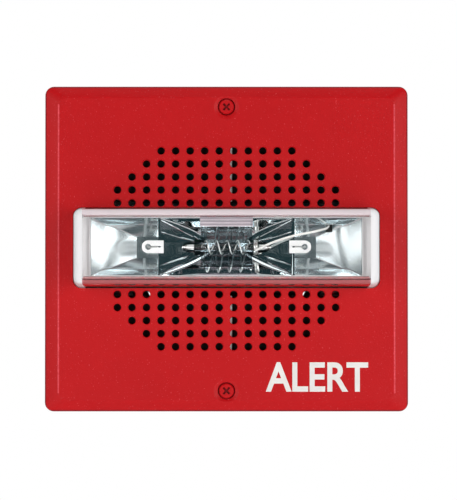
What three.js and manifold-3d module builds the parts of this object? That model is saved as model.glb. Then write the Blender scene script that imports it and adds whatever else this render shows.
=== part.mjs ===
// Wall horn strobe: a red cover with a drilled sound grille, a clear strobe lens
// across its middle, and a moving-coil driver that sounds the horn tone.
// Millimetres. +Z is up, the front faces -Y, and the origin is the centre of the
// wall plane (y = 0). What is at y > 0 stands inside the electrical box.

import * as THREE from 'three';
import { mergeVertices } from 'three/addons/utils/BufferGeometryUtils.js';
import Module from 'manifold-3d';

const wasm = await Module();
wasm.setup();

// ---------------------------------------------------------------- driving dimensions

const GAP = 0.3;                                   // between pieces that meet

const COVER = { width: 133.35, height: 119.4, depth: 25.4, wall: 2.4, corner: 3.3 };
const BORDER = { side: 5.0, end: 4.2, drop: 2.2 };  // the sloped border of the cover
const GRILLE = { columns: 16, pitchX: 5.335, pitchZ: 4.79, radius: 1.38 };
const GRILLE_ROWS = [16, 16, 14, 12, 10];           // holes in each row, from the lens outwards
const HIDDEN_ROWS = 3;                              // grid rows behind each half of the lens
const COVER_SCREW_Z = 52.1;

const LENS = { halfWidth: 56, halfHeight: 14.5, centreZ: 0.3, rise: 22, wall: 1.8 };
const LENS_FLANGE = { halfWidth: 58.5, halfHeight: 16.4, thick: 1.5 };

const TRAY = { halfWidth: 57, halfHeight: 15.9, wall: 1.6, back: -8.1 };
const EAR = { x: 52, z: 20.2, radius: 3.8, front: -14.7, back: -12.7 };

const REFLECTOR = { front: -39, skirt: -23.2, wall: 1.2, halfWidth: 49.6, halfHeight: 10.9 };
const TROUGH = { vertex: -30, focus: 3, floorHalf: 8, mouthHalf: 24 };  // parabola round the tube
const TRIGGER_BAND = { radius: 2.7, start: 9.9, end: 11.3 };
const TUBE = { y: TROUGH.vertex - TROUGH.focus, halfLength: 20.5, radius: 1.95, bore: 1.35 };
const CLIP = { x: 22.7, length: 7.7, halfHeight: 2.3, eyeX: 28.3, eyeRadius: 1.1 };

const PLATE = { width: 124, height: 110, thick: 1.6, corner: 6, opening: 38.5 };
const BOX_SCREW = { x: 35.7, z: 35.7, radius: 2.4, headRadius: 4.6, slot: 6 };

const DRIVER = { flange: 44.5, front: -3.7, back: -1.9, screwCircle: 41.5 };
const COIL_RADIUS = 10.2;

// ---------------------------------------------------------------- heights along Y

const coverFace = -COVER.depth;
const coverInside = coverFace + COVER.wall;
const lensSeat = coverInside + GAP;
const lensBack = lensSeat + LENS_FLANGE.thick;
const lensFront = coverFace - LENS.rise;
const trayRim = lensBack + GAP;
const trayFloor = TRAY.back - TRAY.wall;
const boardBack = trayFloor - GAP;
const boardFront = boardBack - 1.6;
const partSeat = boardFront - GAP;                  // where board parts begin
const plateFront = -PLATE.thick;
const midZ = LENS.centreZ;

// ---------------------------------------------------------------- solids

function solid(geometry) {
  const bare = geometry.clone();
  bare.deleteAttribute('normal');
  bare.deleteAttribute('uv');
  const merged = mergeVertices(bare, 1e-4);
  const count = merged.attributes.position.count;
  const index = merged.index ? merged.index.array : Uint32Array.from({ length: count }, (_, i) => i);
  const mesh = new wasm.Mesh({
    numProp: 3,
    vertProperties: Float32Array.from(merged.attributes.position.array),
    triVerts: Uint32Array.from(index),
  });
  return new wasm.Manifold(mesh);
}

function geometryOf(manifold) {
  const mesh = manifold.getMesh();
  const geometry = new THREE.BufferGeometry();
  geometry.setAttribute('position', new THREE.BufferAttribute(Float32Array.from(mesh.vertProperties), 3));
  geometry.setIndex(new THREE.BufferAttribute(Uint32Array.from(mesh.triVerts), 1));
  geometry.computeVertexNormals();
  return geometry;
}

function join(first, ...rest) {
  return rest.reduce((whole, piece) => whole.add(piece), first);
}

function cut(first, ...rest) {
  return rest.reduce((whole, piece) => whole.subtract(piece), first);
}

// A block between two corners.
function block(x0, x1, y0, y1, z0, z1) {
  const box = new THREE.BoxGeometry(x1 - x0, y1 - y0, z1 - z0);
  return solid(box.translate((x0 + x1) / 2, (y0 + y1) / 2, (z0 + z1) / 2));
}

// Round bars along each axis.
function rodY(radius, y0, y1, x, z, sides = 20) {
  const rod = new THREE.CylinderGeometry(radius, radius, y1 - y0, sides);
  return solid(rod.translate(x, (y0 + y1) / 2, z));
}

function rodX(radius, x0, x1, y, z, sides = 20) {
  const rod = new THREE.CylinderGeometry(radius, radius, x1 - x0, sides);
  return solid(rod.rotateZ(-Math.PI / 2).translate((x0 + x1) / 2, y, z));
}

// A flat shape drawn in X and Z, given thickness between two Y planes.
function slab(shape, y0, y1, curveSegments = 2) {
  const flat = new THREE.ExtrudeGeometry(shape, { depth: y1 - y0, bevelEnabled: false, curveSegments });
  return solid(flat.rotateX(Math.PI / 2).translate(0, y1, 0));
}

// A turned piece on the Y axis; the profile is [radius, y] pairs and closes on itself.
function turned(profile, segments = 40) {
  const points = profile.map(([radius, y]) => new THREE.Vector2(radius, y));
  return solid(new THREE.LatheGeometry(points, segments));
}

function ring(inner, outer, y0, y1, segments = 40) {
  return turned([[inner, y0], [outer, y0], [outer, y1], [inner, y1], [inner, y0]], segments);
}

function roundedRectangle(halfWidth, halfHeight, radius, centreX = 0, centreZ = 0) {
  const shape = new THREE.Shape();
  const x = halfWidth - radius;
  const z = halfHeight - radius;
  shape.absarc(centreX + x, centreZ + z, radius, 0, Math.PI / 2);
  shape.absarc(centreX - x, centreZ + z, radius, Math.PI / 2, Math.PI);
  shape.absarc(centreX - x, centreZ - z, radius, Math.PI, 1.5 * Math.PI);
  shape.absarc(centreX + x, centreZ - z, radius, 1.5 * Math.PI, 2 * Math.PI);
  shape.closePath();
  return shape;
}

function roundedOutline(halfWidth, halfHeight, radius, centreZ = 0, steps = 2) {
  const points = roundedRectangle(halfWidth, halfHeight, radius, 0, centreZ).getPoints(steps);
  return points.filter((point, i) => i === 0 || point.distanceTo(points[i - 1]) > 1e-4)
    .filter((point, i, all) => i === 0 || point.distanceTo(all[0]) > 1e-4);
}

function rectangleOutline(x0, x1, z0, z1) {
  return [[x1, z1], [x0, z1], [x0, z0], [x1, z0]].map(([x, z]) => new THREE.Vector2(x, z));
}

// A closed solid through convex outlines in X and Z, each at its own Y, back to front.
function loft(sections) {
  const count = sections[0].outline.length;
  const position = [];
  const index = [];
  for (const { y, outline } of sections) {
    for (const point of outline) position.push(point.x, y, point.y);
  }
  for (let s = 0; s + 1 < sections.length; s += 1) {
    for (let i = 0; i < count; i += 1) {
      const a = s * count + i;
      const b = s * count + (i + 1) % count;
      index.push(a, b, b + count, a, b + count, a + count);
    }
  }
  const last = (sections.length - 1) * count;
  for (let i = 1; i + 1 < count; i += 1) {
    index.push(0, i + 1, i);
    index.push(last, last + i, last + i + 1);
  }
  const geometry = new THREE.BufferGeometry();
  geometry.setAttribute('position', new THREE.Float32BufferAttribute(position, 3));
  geometry.setIndex(index);
  return solid(geometry);
}

// A six-sided wire along a curve.
function wire(curve, radius, steps) {
  const section = new THREE.Shape();
  section.absarc(0, 0, radius, 0, 2 * Math.PI);
  const options = { steps, extrudePath: curve, curveSegments: 3, bevelEnabled: false };
  return solid(new THREE.ExtrudeGeometry(section, options));
}

// ---------------------------------------------------------------- materials and nodes

const MATERIALS = {
  redPaint: { color: 0xbb2225, roughness: 0.42, metalness: 0 },
  clear: { color: 0xf2f5f6, roughness: 0.05, metalness: 0 },
  chrome: { color: 0xd8dce0, roughness: 0.08, metalness: 1 },
  steel: { color: 0xb9bcbf, roughness: 0.35, metalness: 1 },
  zinc: { color: 0xa9adb0, roughness: 0.45, metalness: 1 },
  blackPlastic: { color: 0x17181a, roughness: 0.55, metalness: 0 },
  whitePlastic: { color: 0xe6e4de, roughness: 0.5, metalness: 0 },
  cloth: { color: 0x101010, roughness: 0.95, metalness: 0 },
  board: { color: 0x1c5a34, roughness: 0.5, metalness: 0 },
  capacitor: { color: 0x20242c, roughness: 0.4, metalness: 0 },
  paper: { color: 0x1b1b1d, roughness: 0.9, metalness: 0 },
  spiderCloth: { color: 0xb98a4e, roughness: 0.9, metalness: 0 },
  copper: { color: 0xb8693a, roughness: 0.35, metalness: 1 },
  ferrite: { color: 0x2c2c2f, roughness: 0.7, metalness: 0 },
  insulation: { color: 0xf0efe9, roughness: 0.5, metalness: 0 },
  greenPlastic: { color: 0x2f6f4a, roughness: 0.5, metalness: 0 },
};

const hornStrobe = new THREE.Group();

function addNode(name, manifold, materialName) {
  const mesh = new THREE.Mesh(geometryOf(manifold), new THREE.MeshStandardMaterial(MATERIALS[materialName]));
  mesh.name = name;
  hornStrobe.add(mesh);
}

// ---------------------------------------------------------------- cover

function grilleHoles() {
  const holes = [];
  GRILLE_ROWS.forEach((count, row) => {
    const z = (HIDDEN_ROWS + row + 0.5) * GRILLE.pitchZ;
    for (let i = 0; i < count; i += 1) {
      const x = (i - (count - 1) / 2) * GRILLE.pitchX;
      holes.push([x, z], [x, -z]);
    }
  });
  return holes;
}

function coverShell() {
  const halfWidth = COVER.width / 2;
  const halfHeight = COVER.height / 2;
  const outer = loft([
    { y: 0, outline: roundedOutline(halfWidth, halfHeight, COVER.corner) },
    { y: coverFace + BORDER.drop, outline: roundedOutline(halfWidth, halfHeight, COVER.corner) },
    { y: coverFace, outline: roundedOutline(halfWidth - BORDER.side, halfHeight - BORDER.end, COVER.corner) },
  ]);
  const inner = (inset) => roundedOutline(
    halfWidth - COVER.wall - inset * BORDER.side,
    halfHeight - COVER.wall - inset * BORDER.end,
    COVER.corner - COVER.wall,
  );
  const hollow = loft([
    { y: 1, outline: inner(0) },
    { y: coverInside + BORDER.drop, outline: inner(0) },
    { y: coverInside, outline: inner(1) },
  ]);
  return cut(outer, hollow);
}

// The face is cut as one drilled slab, so that each hole is cut only once.
function drillPattern(y0, y1) {
  const drills = grilleHoles().map(([x, z]) => rodY(GRILLE.radius, y0, y1, x, z, 6));
  return wasm.Manifold.union(drills);
}

const SCREW_RECESS = { radius: 4.3, seatRadius: 3.3, depth: 2.0 };
const COVER_BOSS = { radius: 5.6, end: -8 };
const coverBossZ = [COVER_SCREW_Z, -COVER_SCREW_Z];
const earPlaces = [[-EAR.x, EAR.z], [EAR.x, EAR.z], [-EAR.x, -EAR.z], [EAR.x, -EAR.z]];

// A dish that narrows from the face to the screw's seat.
function screwDish(z) {
  const slope = (SCREW_RECESS.radius - SCREW_RECESS.seatRadius) / SCREW_RECESS.depth;
  const above = 1;
  const height = SCREW_RECESS.depth + above;
  const mouth = SCREW_RECESS.radius + slope * above;
  const dish = new THREE.CylinderGeometry(SCREW_RECESS.seatRadius, mouth, height, 24);
  return solid(dish.translate(0, coverFace - above + height / 2, z));
}

function frontCover() {
  let cover = coverShell();
  for (const z of coverBossZ) {
    cover = cover.add(rodY(COVER_BOSS.radius, coverInside - 0.5, COVER_BOSS.end, 0, z, 24));
  }
  for (const [x, z] of earPlaces) {
    cover = cover.add(rodY(3, coverInside - 0.5, EAR.front - GAP, x, z, 16));
    cover = cut(cover, rodY(1.55, -22, EAR.front, x, z, 10));
  }
  for (const z of coverBossZ) {
    cover = cut(cover, screwDish(z));
    cover = cut(cover, rodY(1.85, coverFace, COVER_BOSS.end + 1, 0, z, 12));
  }
  const opening = roundedRectangle(LENS.halfWidth + GAP, LENS.halfHeight + GAP, 3.2, 0, midZ);
  cover = cut(cover, slab(opening, coverFace - 1, coverInside + 1));
  return cut(cover, drillPattern(coverFace - 1, coverInside + 0.9));
}

// A pan-head screw along Y with a cross recess turned by 45 degrees; its head faces -Y.
function panScrew(x, z, seat, headRadius, headHeight, shankRadius, length) {
  const head = new THREE.CylinderGeometry(headRadius, headRadius * 0.78, headHeight, 20);
  const cap = solid(head.translate(x, seat - headHeight / 2, z));
  const shank = rodY(shankRadius, seat - 0.2, seat + length, x, z, 10);
  const slotHalf = headRadius * 0.62;
  const bar = new THREE.BoxGeometry(slotHalf * 2, headHeight, headRadius * 0.26);
  const slots = [Math.PI / 4, -Math.PI / 4].map((turn) =>
    solid(bar.clone().rotateY(turn).translate(x, seat - headHeight * 0.9, z)));
  return cut(join(cap, shank), ...slots);
}

function addCover() {
  addNode('front_cover', frontCover(), 'redPaint');
  const seat = coverFace + SCREW_RECESS.depth - GAP;
  const reach = plateFront - GAP - seat;
  addNode('cover_screw_top', panScrew(0, COVER_SCREW_Z, seat, 2.9, 1.5, 1.5, reach), 'redPaint');
  addNode('cover_screw_bottom', panScrew(0, -COVER_SCREW_Z, seat, 2.9, 1.5, 1.5, reach), 'redPaint');
}

// Black dust cloth behind each half of the grille, with the strap that clamps it.
function addDustCloths() {
  const strapFront = coverInside + GAP;
  const strapBack = strapFront + 1.0;
  const clothBack = strapBack + GAP + 0.5;
  for (const [name, side] of [['upper', 1], ['lower', -1]]) {
    const z = (near, far) => [side * near, side * far].sort((a, b) => a - b);
    addNode(`dust_cloth_${name}`, block(-43.5, 43.5, strapBack + GAP, clothBack, ...z(17.3, 38.8)), 'cloth');
    addNode(`cloth_strap_${name}`, block(0.3, 2.1, strapFront, strapBack, ...z(17.3, 44)), 'zinc');
  }
}

// ---------------------------------------------------------------- lens and tray

function lensSection(y, inset, radius) {
  return { y, outline: roundedOutline(LENS.halfWidth - inset, LENS.halfHeight - inset, radius, midZ) };
}

function lens() {
  const flangeShape = roundedRectangle(LENS_FLANGE.halfWidth, LENS_FLANGE.halfHeight, 3, 0, midZ);
  const flange = slab(flangeShape, lensSeat, lensBack);
  const outer = loft([
    lensSection(lensBack, 0, 3),
    lensSection(coverFace, 0, 3),
    lensSection(lensFront + 2.4, 1.0, 2.8),
    lensSection(lensFront + 0.8, 1.5, 2.6),
    lensSection(lensFront, 2.6, 2.0),
  ]);
  const inner = loft([
    lensSection(lensBack + 1, LENS.wall, 1.6),
    lensSection(coverFace, LENS.wall, 1.6),
    lensSection(lensFront + 3.4, LENS.wall + 0.8, 1.4),
    lensSection(lensFront + LENS.wall, LENS.wall + 1.4, 1.2),
  ]);
  return cut(join(flange, outer), inner);
}

const SWITCH = { x: 50.6, halfWidth: 4.2, halfHeight: 6 };

function strobeTray() {
  const outer = roundedRectangle(TRAY.halfWidth, TRAY.halfHeight, 2.5, 0, midZ);
  const inner = roundedRectangle(TRAY.halfWidth - TRAY.wall, TRAY.halfHeight - TRAY.wall, 1.2, 0, midZ);
  let tray = slab(outer, trayRim, TRAY.back);
  for (const [x, z] of earPlaces) {
    const wallZ = Math.sign(z) * 12;
    const [low, high] = [Math.min(wallZ, z), Math.max(wallZ, z)];
    tray = join(tray, rodY(EAR.radius, EAR.front, EAR.back, x, z, 12));
    tray = join(tray, block(x - EAR.radius, x + EAR.radius, EAR.front, EAR.back, low, high));
  }
  tray = cut(tray, slab(inner, trayRim - 1, trayFloor));
  for (const [x, z] of earPlaces) tray = cut(tray, rodY(1.6, EAR.front - 1, EAR.back + 1, x, z, 8));
  const reach = TRAY.back + 1;
  const switchHole = block(SWITCH.x - SWITCH.halfWidth - GAP, SWITCH.x + SWITCH.halfWidth + GAP,
    trayFloor - 0.1, reach, midZ - SWITCH.halfHeight - GAP, midZ + SWITCH.halfHeight + GAP);
  const plugHole = block(-54.3, -46.7, trayFloor - 0.1, reach, midZ - 6.3, midZ + 6.3);
  return cut(tray, switchHole, plugHole);
}

function addStrobeHousing() {
  addNode('strobe_lens', lens(), 'clear');
  addNode('strobe_tray', strobeTray(), 'whitePlastic');
  earPlaces.forEach(([x, z], i) => {
    const seat = EAR.back + GAP;
    const head = rodY(2.6, seat, seat + 1.6, x, z, 16);
    const shank = rodY(1.2, seat - 8, seat + 0.2, x, z, 10);
    const slot = block(x - 1.8, x + 1.8, seat + 1.0, seat + 2, z - 0.35, z + 0.35);
    addNode(`tray_screw_${i + 1}`, cut(join(head, shank), slot), 'steel');
  });
}

// ---------------------------------------------------------------- reflector

// The outer end wall of a side cell has two slopes with a small step between them.
const SIDE_CELL = [
  { y: -27, near: 24.7, far: 32.7, half: 3.9 },
  { y: -34, near: 24.7, far: 43.6, half: 7.9 },
  { y: -36.2, near: 24.7, far: 44.4, half: 8.5 },
  { y: REFLECTOR.front, near: 24.7, far: 48.9, half: 10.4 },
];
const MIDDLE_DEPTHS = [-30.1, -30.8, -32.4, -35, REFLECTOR.front];

function sideSections(side, grow) {
  return SIDE_CELL.map(({ y, near, far, half }) => {
    const [x0, x1] = [side * (near - grow), side * (far + grow)].sort((a, b) => a - b);
    return { y, outline: rectangleOutline(x0, x1, midZ - half - grow, midZ + half + grow) };
  });
}

// The middle cell is a trough with its focus line on the tube's axis, and sloped ends.
function middleSections(grow) {
  return MIDDLE_DEPTHS.map((y) => {
    const half = Math.sqrt(4 * TROUGH.focus * (TROUGH.vertex - y)) + grow;
    const share = (TROUGH.vertex - y) / (TROUGH.vertex - REFLECTOR.front);
    const far = TROUGH.floorHalf + share * (TROUGH.mouthHalf - TROUGH.floorHalf) + grow;
    return { y, outline: rectangleOutline(-far, far, midZ - half, midZ + half) };
  });
}

// The shell of a cell: a skin of one wall thickness with a floor behind.
function cellShell(sectionsFor) {
  const skin = sectionsFor(REFLECTOR.wall);
  skin.unshift({ y: skin[0].y + REFLECTOR.wall, outline: skin[0].outline });
  return loft(skin);
}

function cellVoid(sectionsFor) {
  const space = sectionsFor(0);
  space.push({ y: REFLECTOR.front - 1, outline: space[space.length - 1].outline });
  return loft(space);
}

function reflectorBlock(inset, front, back) {
  const { halfWidth, halfHeight } = REFLECTOR;
  return slab(roundedRectangle(halfWidth - inset, halfHeight - inset, 1.6 - inset, 0, midZ), front, back);
}

// Three cells in one moulding, with a skirt round them and two posts down to the board.
function reflector() {
  const makers = [(grow) => sideSections(-1, grow), middleSections, (grow) => sideSections(1, grow)];
  const skirt = cut(reflectorBlock(0, REFLECTOR.front, REFLECTOR.skirt),
    reflectorBlock(1, REFLECTOR.front + REFLECTOR.wall, 0));
  let body = join(skirt, ...makers.map(cellShell));
  body = body.intersect(reflectorBlock(0, REFLECTOR.front, REFLECTOR.skirt));
  const flangeShape = roundedRectangle(53.2, 11.8, 2.2, 0, midZ);
  const flange = cut(slab(flangeShape, -37.4, -36.4), reflectorBlock(0.6, -40, -30));
  body = join(body, flange);
  for (const x of [-30, 30]) body = join(body, rodY(1.6, -26.5, partSeat, x, midZ + 3.4, 12));
  body = cut(body, ...makers.map(cellVoid));
  for (const side of [-1, 1]) {
    const span = (a, b) => [side * a, side * b].sort((p, q) => p - q);
    body = cut(body, rodX(TUBE.radius + GAP, ...span(9, 22.5), TUBE.y, midZ, 20));
    body = cut(body, rodX(TRIGGER_BAND.radius + GAP, ...span(8, TRIGGER_BAND.end + GAP), TUBE.y, midZ, 20));
    body = cut(body, rodX(0.8, ...span(22, 26), TUBE.y, midZ, 10));
    body = cut(body, block(...span(29.4, 30.9), -27.5, -24, midZ - 1.6, midZ + 1.6));
  }
  return cut(body, block(36.2, 38.6, -34.6, -30.8, midZ + 5.5, midZ + 9.4));
}

// ---------------------------------------------------------------- flash tube

function flashTube() {
  const glass = rodX(TUBE.radius, -TUBE.halfLength, TUBE.halfLength, TUBE.y, midZ, 24);
  const bore = rodX(TUBE.bore, -TUBE.halfLength - 1, TUBE.halfLength + 1, TUBE.y, midZ, 24);
  return cut(glass, bore);
}

// The electrode in one end of the tube, and its lead through the eye of the clip.
function electrode(side) {
  const span = (a, b) => [side * a, side * b].sort((p, q) => p - q);
  const tip = rodX(1.0, ...span(11.5, 21.5), TUBE.y, midZ, 16);
  const lead = rodX(0.4, ...span(21, CLIP.eyeX + 0.4), TUBE.y, midZ, 8);
  const end = rodY(0.4, REFLECTOR.front - 1.6, TUBE.y, side * CLIP.eyeX, midZ, 8);
  return join(tip, lead, end);
}

// The clip has a round end with an eye, a slot, and a leg down to the board.
function tubeClip(side) {
  const span = (a, b) => [side * a, side * b].sort((p, q) => p - q);
  const front = REFLECTOR.front - GAP - 0.6;
  const back = REFLECTOR.front - GAP;
  const end = rodY(CLIP.halfHeight, front, back, side * CLIP.eyeX, midZ, 24);
  const tab = block(...span(CLIP.x, CLIP.eyeX), front, back, midZ - CLIP.halfHeight, midZ + CLIP.halfHeight);
  const leg = block(...span(29.85, 30.45), front, partSeat, midZ - 1.2, midZ + 1.2);
  const eye = rodY(CLIP.eyeRadius, front - 1, back + 0.5, side * CLIP.eyeX, midZ, 16);
  const slot = block(...span(CLIP.x + 1, CLIP.eyeX), front - 1, back + 0.5, midZ - 0.25, midZ + 0.25);
  return cut(join(end, tab, leg), eye, slot);
}

class TriggerHelix extends THREE.Curve {
  constructor(radius, pitch, turns) {
    super();
    this.radius = radius;
    this.pitch = pitch;
    this.turns = turns;
  }

  getPoint(t, target = new THREE.Vector3()) {
    const angle = 2 * Math.PI * this.turns * t;
    const x = (t - 0.5) * this.turns * this.pitch;
    return target.set(x, TUBE.y + this.radius * Math.cos(angle), midZ + this.radius * Math.sin(angle));
  }
}

function triggerLead() {
  const points = [
    [10.6, -36.3, -0.9], [16, -38, 1.6], [24, -40.3, 4.2], [30, -39.7, 5.4],
    [34, -37.0, 6.4], [36.7, -33.8, 7.4], [37.4, -31.6, 8.9], [37.4, -28, 9.0],
    [36.9, -24.6, 8.2], [36.2, -22.0, 7.2],
  ];
  const curve = new THREE.CatmullRomCurve3(points.map(([x, y, z]) => new THREE.Vector3(x, y, z)));
  return wire(curve, 0.4, 30);
}

function addStrobeOptics() {
  addNode('reflector', reflector(), 'chrome');
  addNode('flash_tube', flashTube(), 'clear');
  for (const [name, side] of [['left', -1], ['right', 1]]) {
    addNode(`electrode_${name}`, electrode(side), 'steel');
    addNode(`tube_clip_${name}`, tubeClip(side), 'whitePlastic');
  }
  const helix = new TriggerHelix(TUBE.radius + 0.55, 3.85, 4.4);
  addNode('trigger_wire', wire(helix, 0.2, 58), 'steel');
  addNode('trigger_lead', triggerLead(), 'insulation');
  const band = cut(rodX(TRIGGER_BAND.radius, TRIGGER_BAND.start, TRIGGER_BAND.end, TUBE.y, midZ, 20),
    rodX(TUBE.radius + GAP, 9, 12, TUBE.y, midZ, 20));
  addNode('trigger_band', band, 'copper');
}

// ---------------------------------------------------------------- strobe electronics

function strobeBoard() {
  return slab(roundedRectangle(54, 13.2, 1.5, 0, midZ), boardFront, boardBack);
}

// Four brightness settings, 2.4 mm apart along Z; the slider rests at the lowest.
function addCandelaSwitch() {
  const { x, halfWidth, halfHeight } = SWITCH;
  const back = TRAY.back + 3.4;
  const floor = back - 2;
  const [z0, z1] = [midZ - halfHeight, midZ + halfHeight];
  const body = block(x - halfWidth, x + halfWidth, boardBack + GAP, back, z0, z1);
  const channel = block(x - 1.6, x + 1.6, floor, back + 1, midZ - 5.3, midZ + 5.3);
  addNode('candela_switch', cut(body, channel), 'blackPlastic');
  const slider = block(x - 1.2, x + 1.2, floor + 0.4, back + 1.2, midZ - 4.8, midZ - 2.4);
  addNode('candela_slider', slider, 'whitePlastic');
}

function addStrobeElectronics() {
  addNode('strobe_board', strobeBoard(), 'board');

  const canRadius = 6;
  const can = rodX(canRadius, -16, 16, partSeat - canRadius, midZ - 5.5, 24);
  addNode('flash_capacitor', can, 'capacitor');

  addNode('trigger_coil', rodY(3.6, partSeat - 9.5, partSeat, 36, midZ + 6.5, 20), 'whitePlastic');

  const drum = turned([[0, partSeat - 9], [6, partSeat - 9], [6, partSeat - 7.8], [4, partSeat - 7.8],
    [4, partSeat - 1.2], [6, partSeat - 1.2], [6, partSeat], [0, partSeat]], 24);
  addNode('power_inductor', drum.translate([-36, 0, midZ - 5.5]), 'ferrite');

  addNode('controller_chip', block(-13, -3, partSeat - 1.6, partSeat, midZ + 5, midZ + 10), 'blackPlastic');

  addCandelaSwitch();

  const plugPins = [-4.2, -1.4, 1.4, 4.2].map((z) =>
    block(-50.9, -50.1, -7, -3.4, midZ + z - 0.4, midZ + z + 0.4));
  const plug = block(-54, -47, boardBack + GAP, -6.9, midZ - 6, midZ + 6);
  addNode('strobe_plug', join(plug, ...plugPins), 'whitePlastic');
}

// ---------------------------------------------------------------- mounting plate

function mountingPlate() {
  let plate = slab(roundedRectangle(PLATE.width / 2, PLATE.height / 2, PLATE.corner), plateFront, 0);
  plate = cut(plate, rodY(PLATE.opening, plateFront - 1, 1, 0, 0, 32));
  for (const side of [-1, 1]) {
    const x = side * BOX_SCREW.x;
    const z = -side * BOX_SCREW.z;
    plate = cut(plate, rodY(BOX_SCREW.headRadius, plateFront - 1, 1, x, z, 20));
    const [x0, x1] = [x, x + side * BOX_SCREW.slot].sort((a, b) => a - b);
    plate = cut(plate, block(x0, x1, plateFront - 1, 1, z - BOX_SCREW.radius, z + BOX_SCREW.radius));
    plate = cut(plate, rodY(BOX_SCREW.radius, plateFront - 1, 1, x + side * BOX_SCREW.slot, z, 16));
  }
  for (const [x, z] of driverScrewPlaces) plate = cut(plate, rodY(1.75, plateFront - 1, 1, x, z, 10));
  for (const z of coverBossZ) plate = cut(plate, rodY(1.8, plateFront - 1, 1, 0, z, 12));
  return plate;
}

const driverScrewPlaces = [20, 160, 200, 340].map((degrees) => {
  const angle = degrees * Math.PI / 180;
  return [DRIVER.screwCircle * Math.cos(angle), DRIVER.screwCircle * Math.sin(angle)];
});

function addPlate() {
  addNode('mounting_plate', mountingPlate(), 'zinc');
  for (const [name, z] of [['top', COVER_SCREW_Z], ['bottom', -COVER_SCREW_Z]]) {
    const bush = cut(rodY(3.6, COVER_BOSS.end + GAP, plateFront - GAP, 0, z, 6),
      rodY(1.8, COVER_BOSS.end - 1, 0, 0, z, 12));
    addNode(`screw_bush_${name}`, bush, 'steel');
  }
  const socket = block(-54.5, -46.5, -6.2, plateFront - GAP, midZ - 6.3, midZ + 6.3);
  const pocket = block(-52.4, -48.6, -7, -2.6, midZ - 5.3, midZ + 5.3);
  addNode('base_socket', cut(socket, pocket), 'blackPlastic');
}

// ---------------------------------------------------------------- driver

const BASKET_WINDOWS = 8;

function basket() {
  const shell = turned([
    [37.6, DRIVER.front], [DRIVER.flange, DRIVER.front], [DRIVER.flange, DRIVER.back], [38.0, DRIVER.back],
    [37.0, 3], [23.2, 16.2], [22.0, 17.4], [12.4, 17.4], [12.4, 16.2], [21.6, 16.2],
    [22.4, 15.2], [35.8, 2.4], [36.6, DRIVER.front + 0.6], [37.6, DRIVER.front],
  ], 32);
  const windows = [];
  for (let i = 0; i < BASKET_WINDOWS; i += 1) {
    const middle = (i + 0.5) * 2 * Math.PI / BASKET_WINDOWS;
    const sector = new THREE.Shape();
    sector.absarc(0, 0, 33.6, middle - 0.18, middle + 0.18);
    sector.absarc(0, 0, 26, middle + 0.2, middle - 0.2, true);
    sector.closePath();
    windows.push(slab(sector, 3.4, 15, 1));
  }
  let frame = cut(shell, ...windows);
  for (const [x, z] of driverScrewPlaces) frame = cut(frame, rodY(1.8, -5, 0, x, z, 10));
  return frame;
}

const CONE = { outer: 32.4, inner: 11.2, front: -3.2, back: 8.4, thick: 0.9 };

function paperCone() {
  return turned([
    [CONE.inner, CONE.back], [CONE.outer, CONE.front], [CONE.outer + 0.8, CONE.front + 0.5],
    [CONE.inner, CONE.back + CONE.thick], [CONE.inner, CONE.back],
  ], 40);
}

// A half-round roll of rubber between the cone and the basket.
function surround() {
  const outer = [];
  const inner = [];
  const middle = 36.0;
  const steps = 5;
  for (let i = 0; i <= steps; i += 1) {
    const angle = Math.PI * (i / steps);
    outer.push([middle - 2.4 * Math.cos(angle), -4.5 - 2.0 * Math.sin(angle)]);
    inner.push([middle - 1.8 * Math.cos(angle), -4.5 - 1.4 * Math.sin(angle)]);
  }
  const lip = [[38.6, -4.5], [38.6, -4.0], [37.8, -4.0]];
  return turned([...outer, ...lip, ...inner.reverse(), [33.6, -4.0], outer[0]], 32);
}

function spider() {
  const front = [];
  const back = [];
  for (let i = 0; i <= 6; i += 1) {
    const radius = COIL_RADIUS + 0.9 + i * 1.6;
    const y = 13.1 + (i % 2 ? 0.8 : 0);
    front.push([radius, y]);
    back.push([radius, y + 0.5]);
  }
  return turned([...front, ...back.reverse(), front[0]], 24);
}

function addDriver() {
  addNode('driver_basket', basket(), 'zinc');
  addNode('driver_surround', surround(), 'paper');
  addNode('driver_cone', paperCone(), 'paper');
  const cap = turned([[0, 3.2], [4, 3.6], [8, 5.0], [CONE.inner - 0.4, 7.8],
    [CONE.inner - 0.4, 8.4], [7.6, 5.6], [4, 4.2], [0, 3.8]], 32);
  addNode('dust_cap', cap, 'paper');
  addNode('voice_coil', ring(COIL_RADIUS - 0.7, COIL_RADIUS, 9.0, 21.5, 32), 'copper');
  addNode('spider', spider(), 'spiderCloth');
  addNode('top_plate', ring(11, 20, 17.7, 20.7), 'steel');
  addNode('magnet', ring(13, 21.5, 21.0, 29.0), 'ferrite');
  const yoke = join(rodY(20, 29.3, 32.3, 0, 0, 40), rodY(8.8, 15.5, 30, 0, 0, 32));
  addNode('magnet_yoke', yoke, 'steel');
  driverScrewPlaces.forEach(([x, z], i) => {
    addNode(`driver_screw_${i + 1}`, panScrew(x, z, DRIVER.front - GAP, 2.6, 1.5, 1.35, 8), 'steel');
  });
}

// ---------------------------------------------------------------- rear electronics

const TERMINAL = { count: 4, pitch: 7, y0: 0.3, y1: 13, z0: -47.2, z1: -39.2 };

function terminalX(i) {
  return (i - (TERMINAL.count - 1) / 2) * TERMINAL.pitch;
}

function terminalBlock() {
  const half = TERMINAL.count * TERMINAL.pitch / 2 + 1;
  let body = block(-half, half, TERMINAL.y0, TERMINAL.y1, TERMINAL.z0, TERMINAL.z1);
  for (let i = 0; i < TERMINAL.count; i += 1) {
    const x = terminalX(i);
    body = cut(body, rodY(2.5, TERMINAL.y1 - 4.5, TERMINAL.y1 + 1, x, -43, 14));
    body = cut(body, block(x - 1.8, x + 1.8, 3.4, 7.0, TERMINAL.z0 - 1, -42));
  }
  return body;
}

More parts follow.
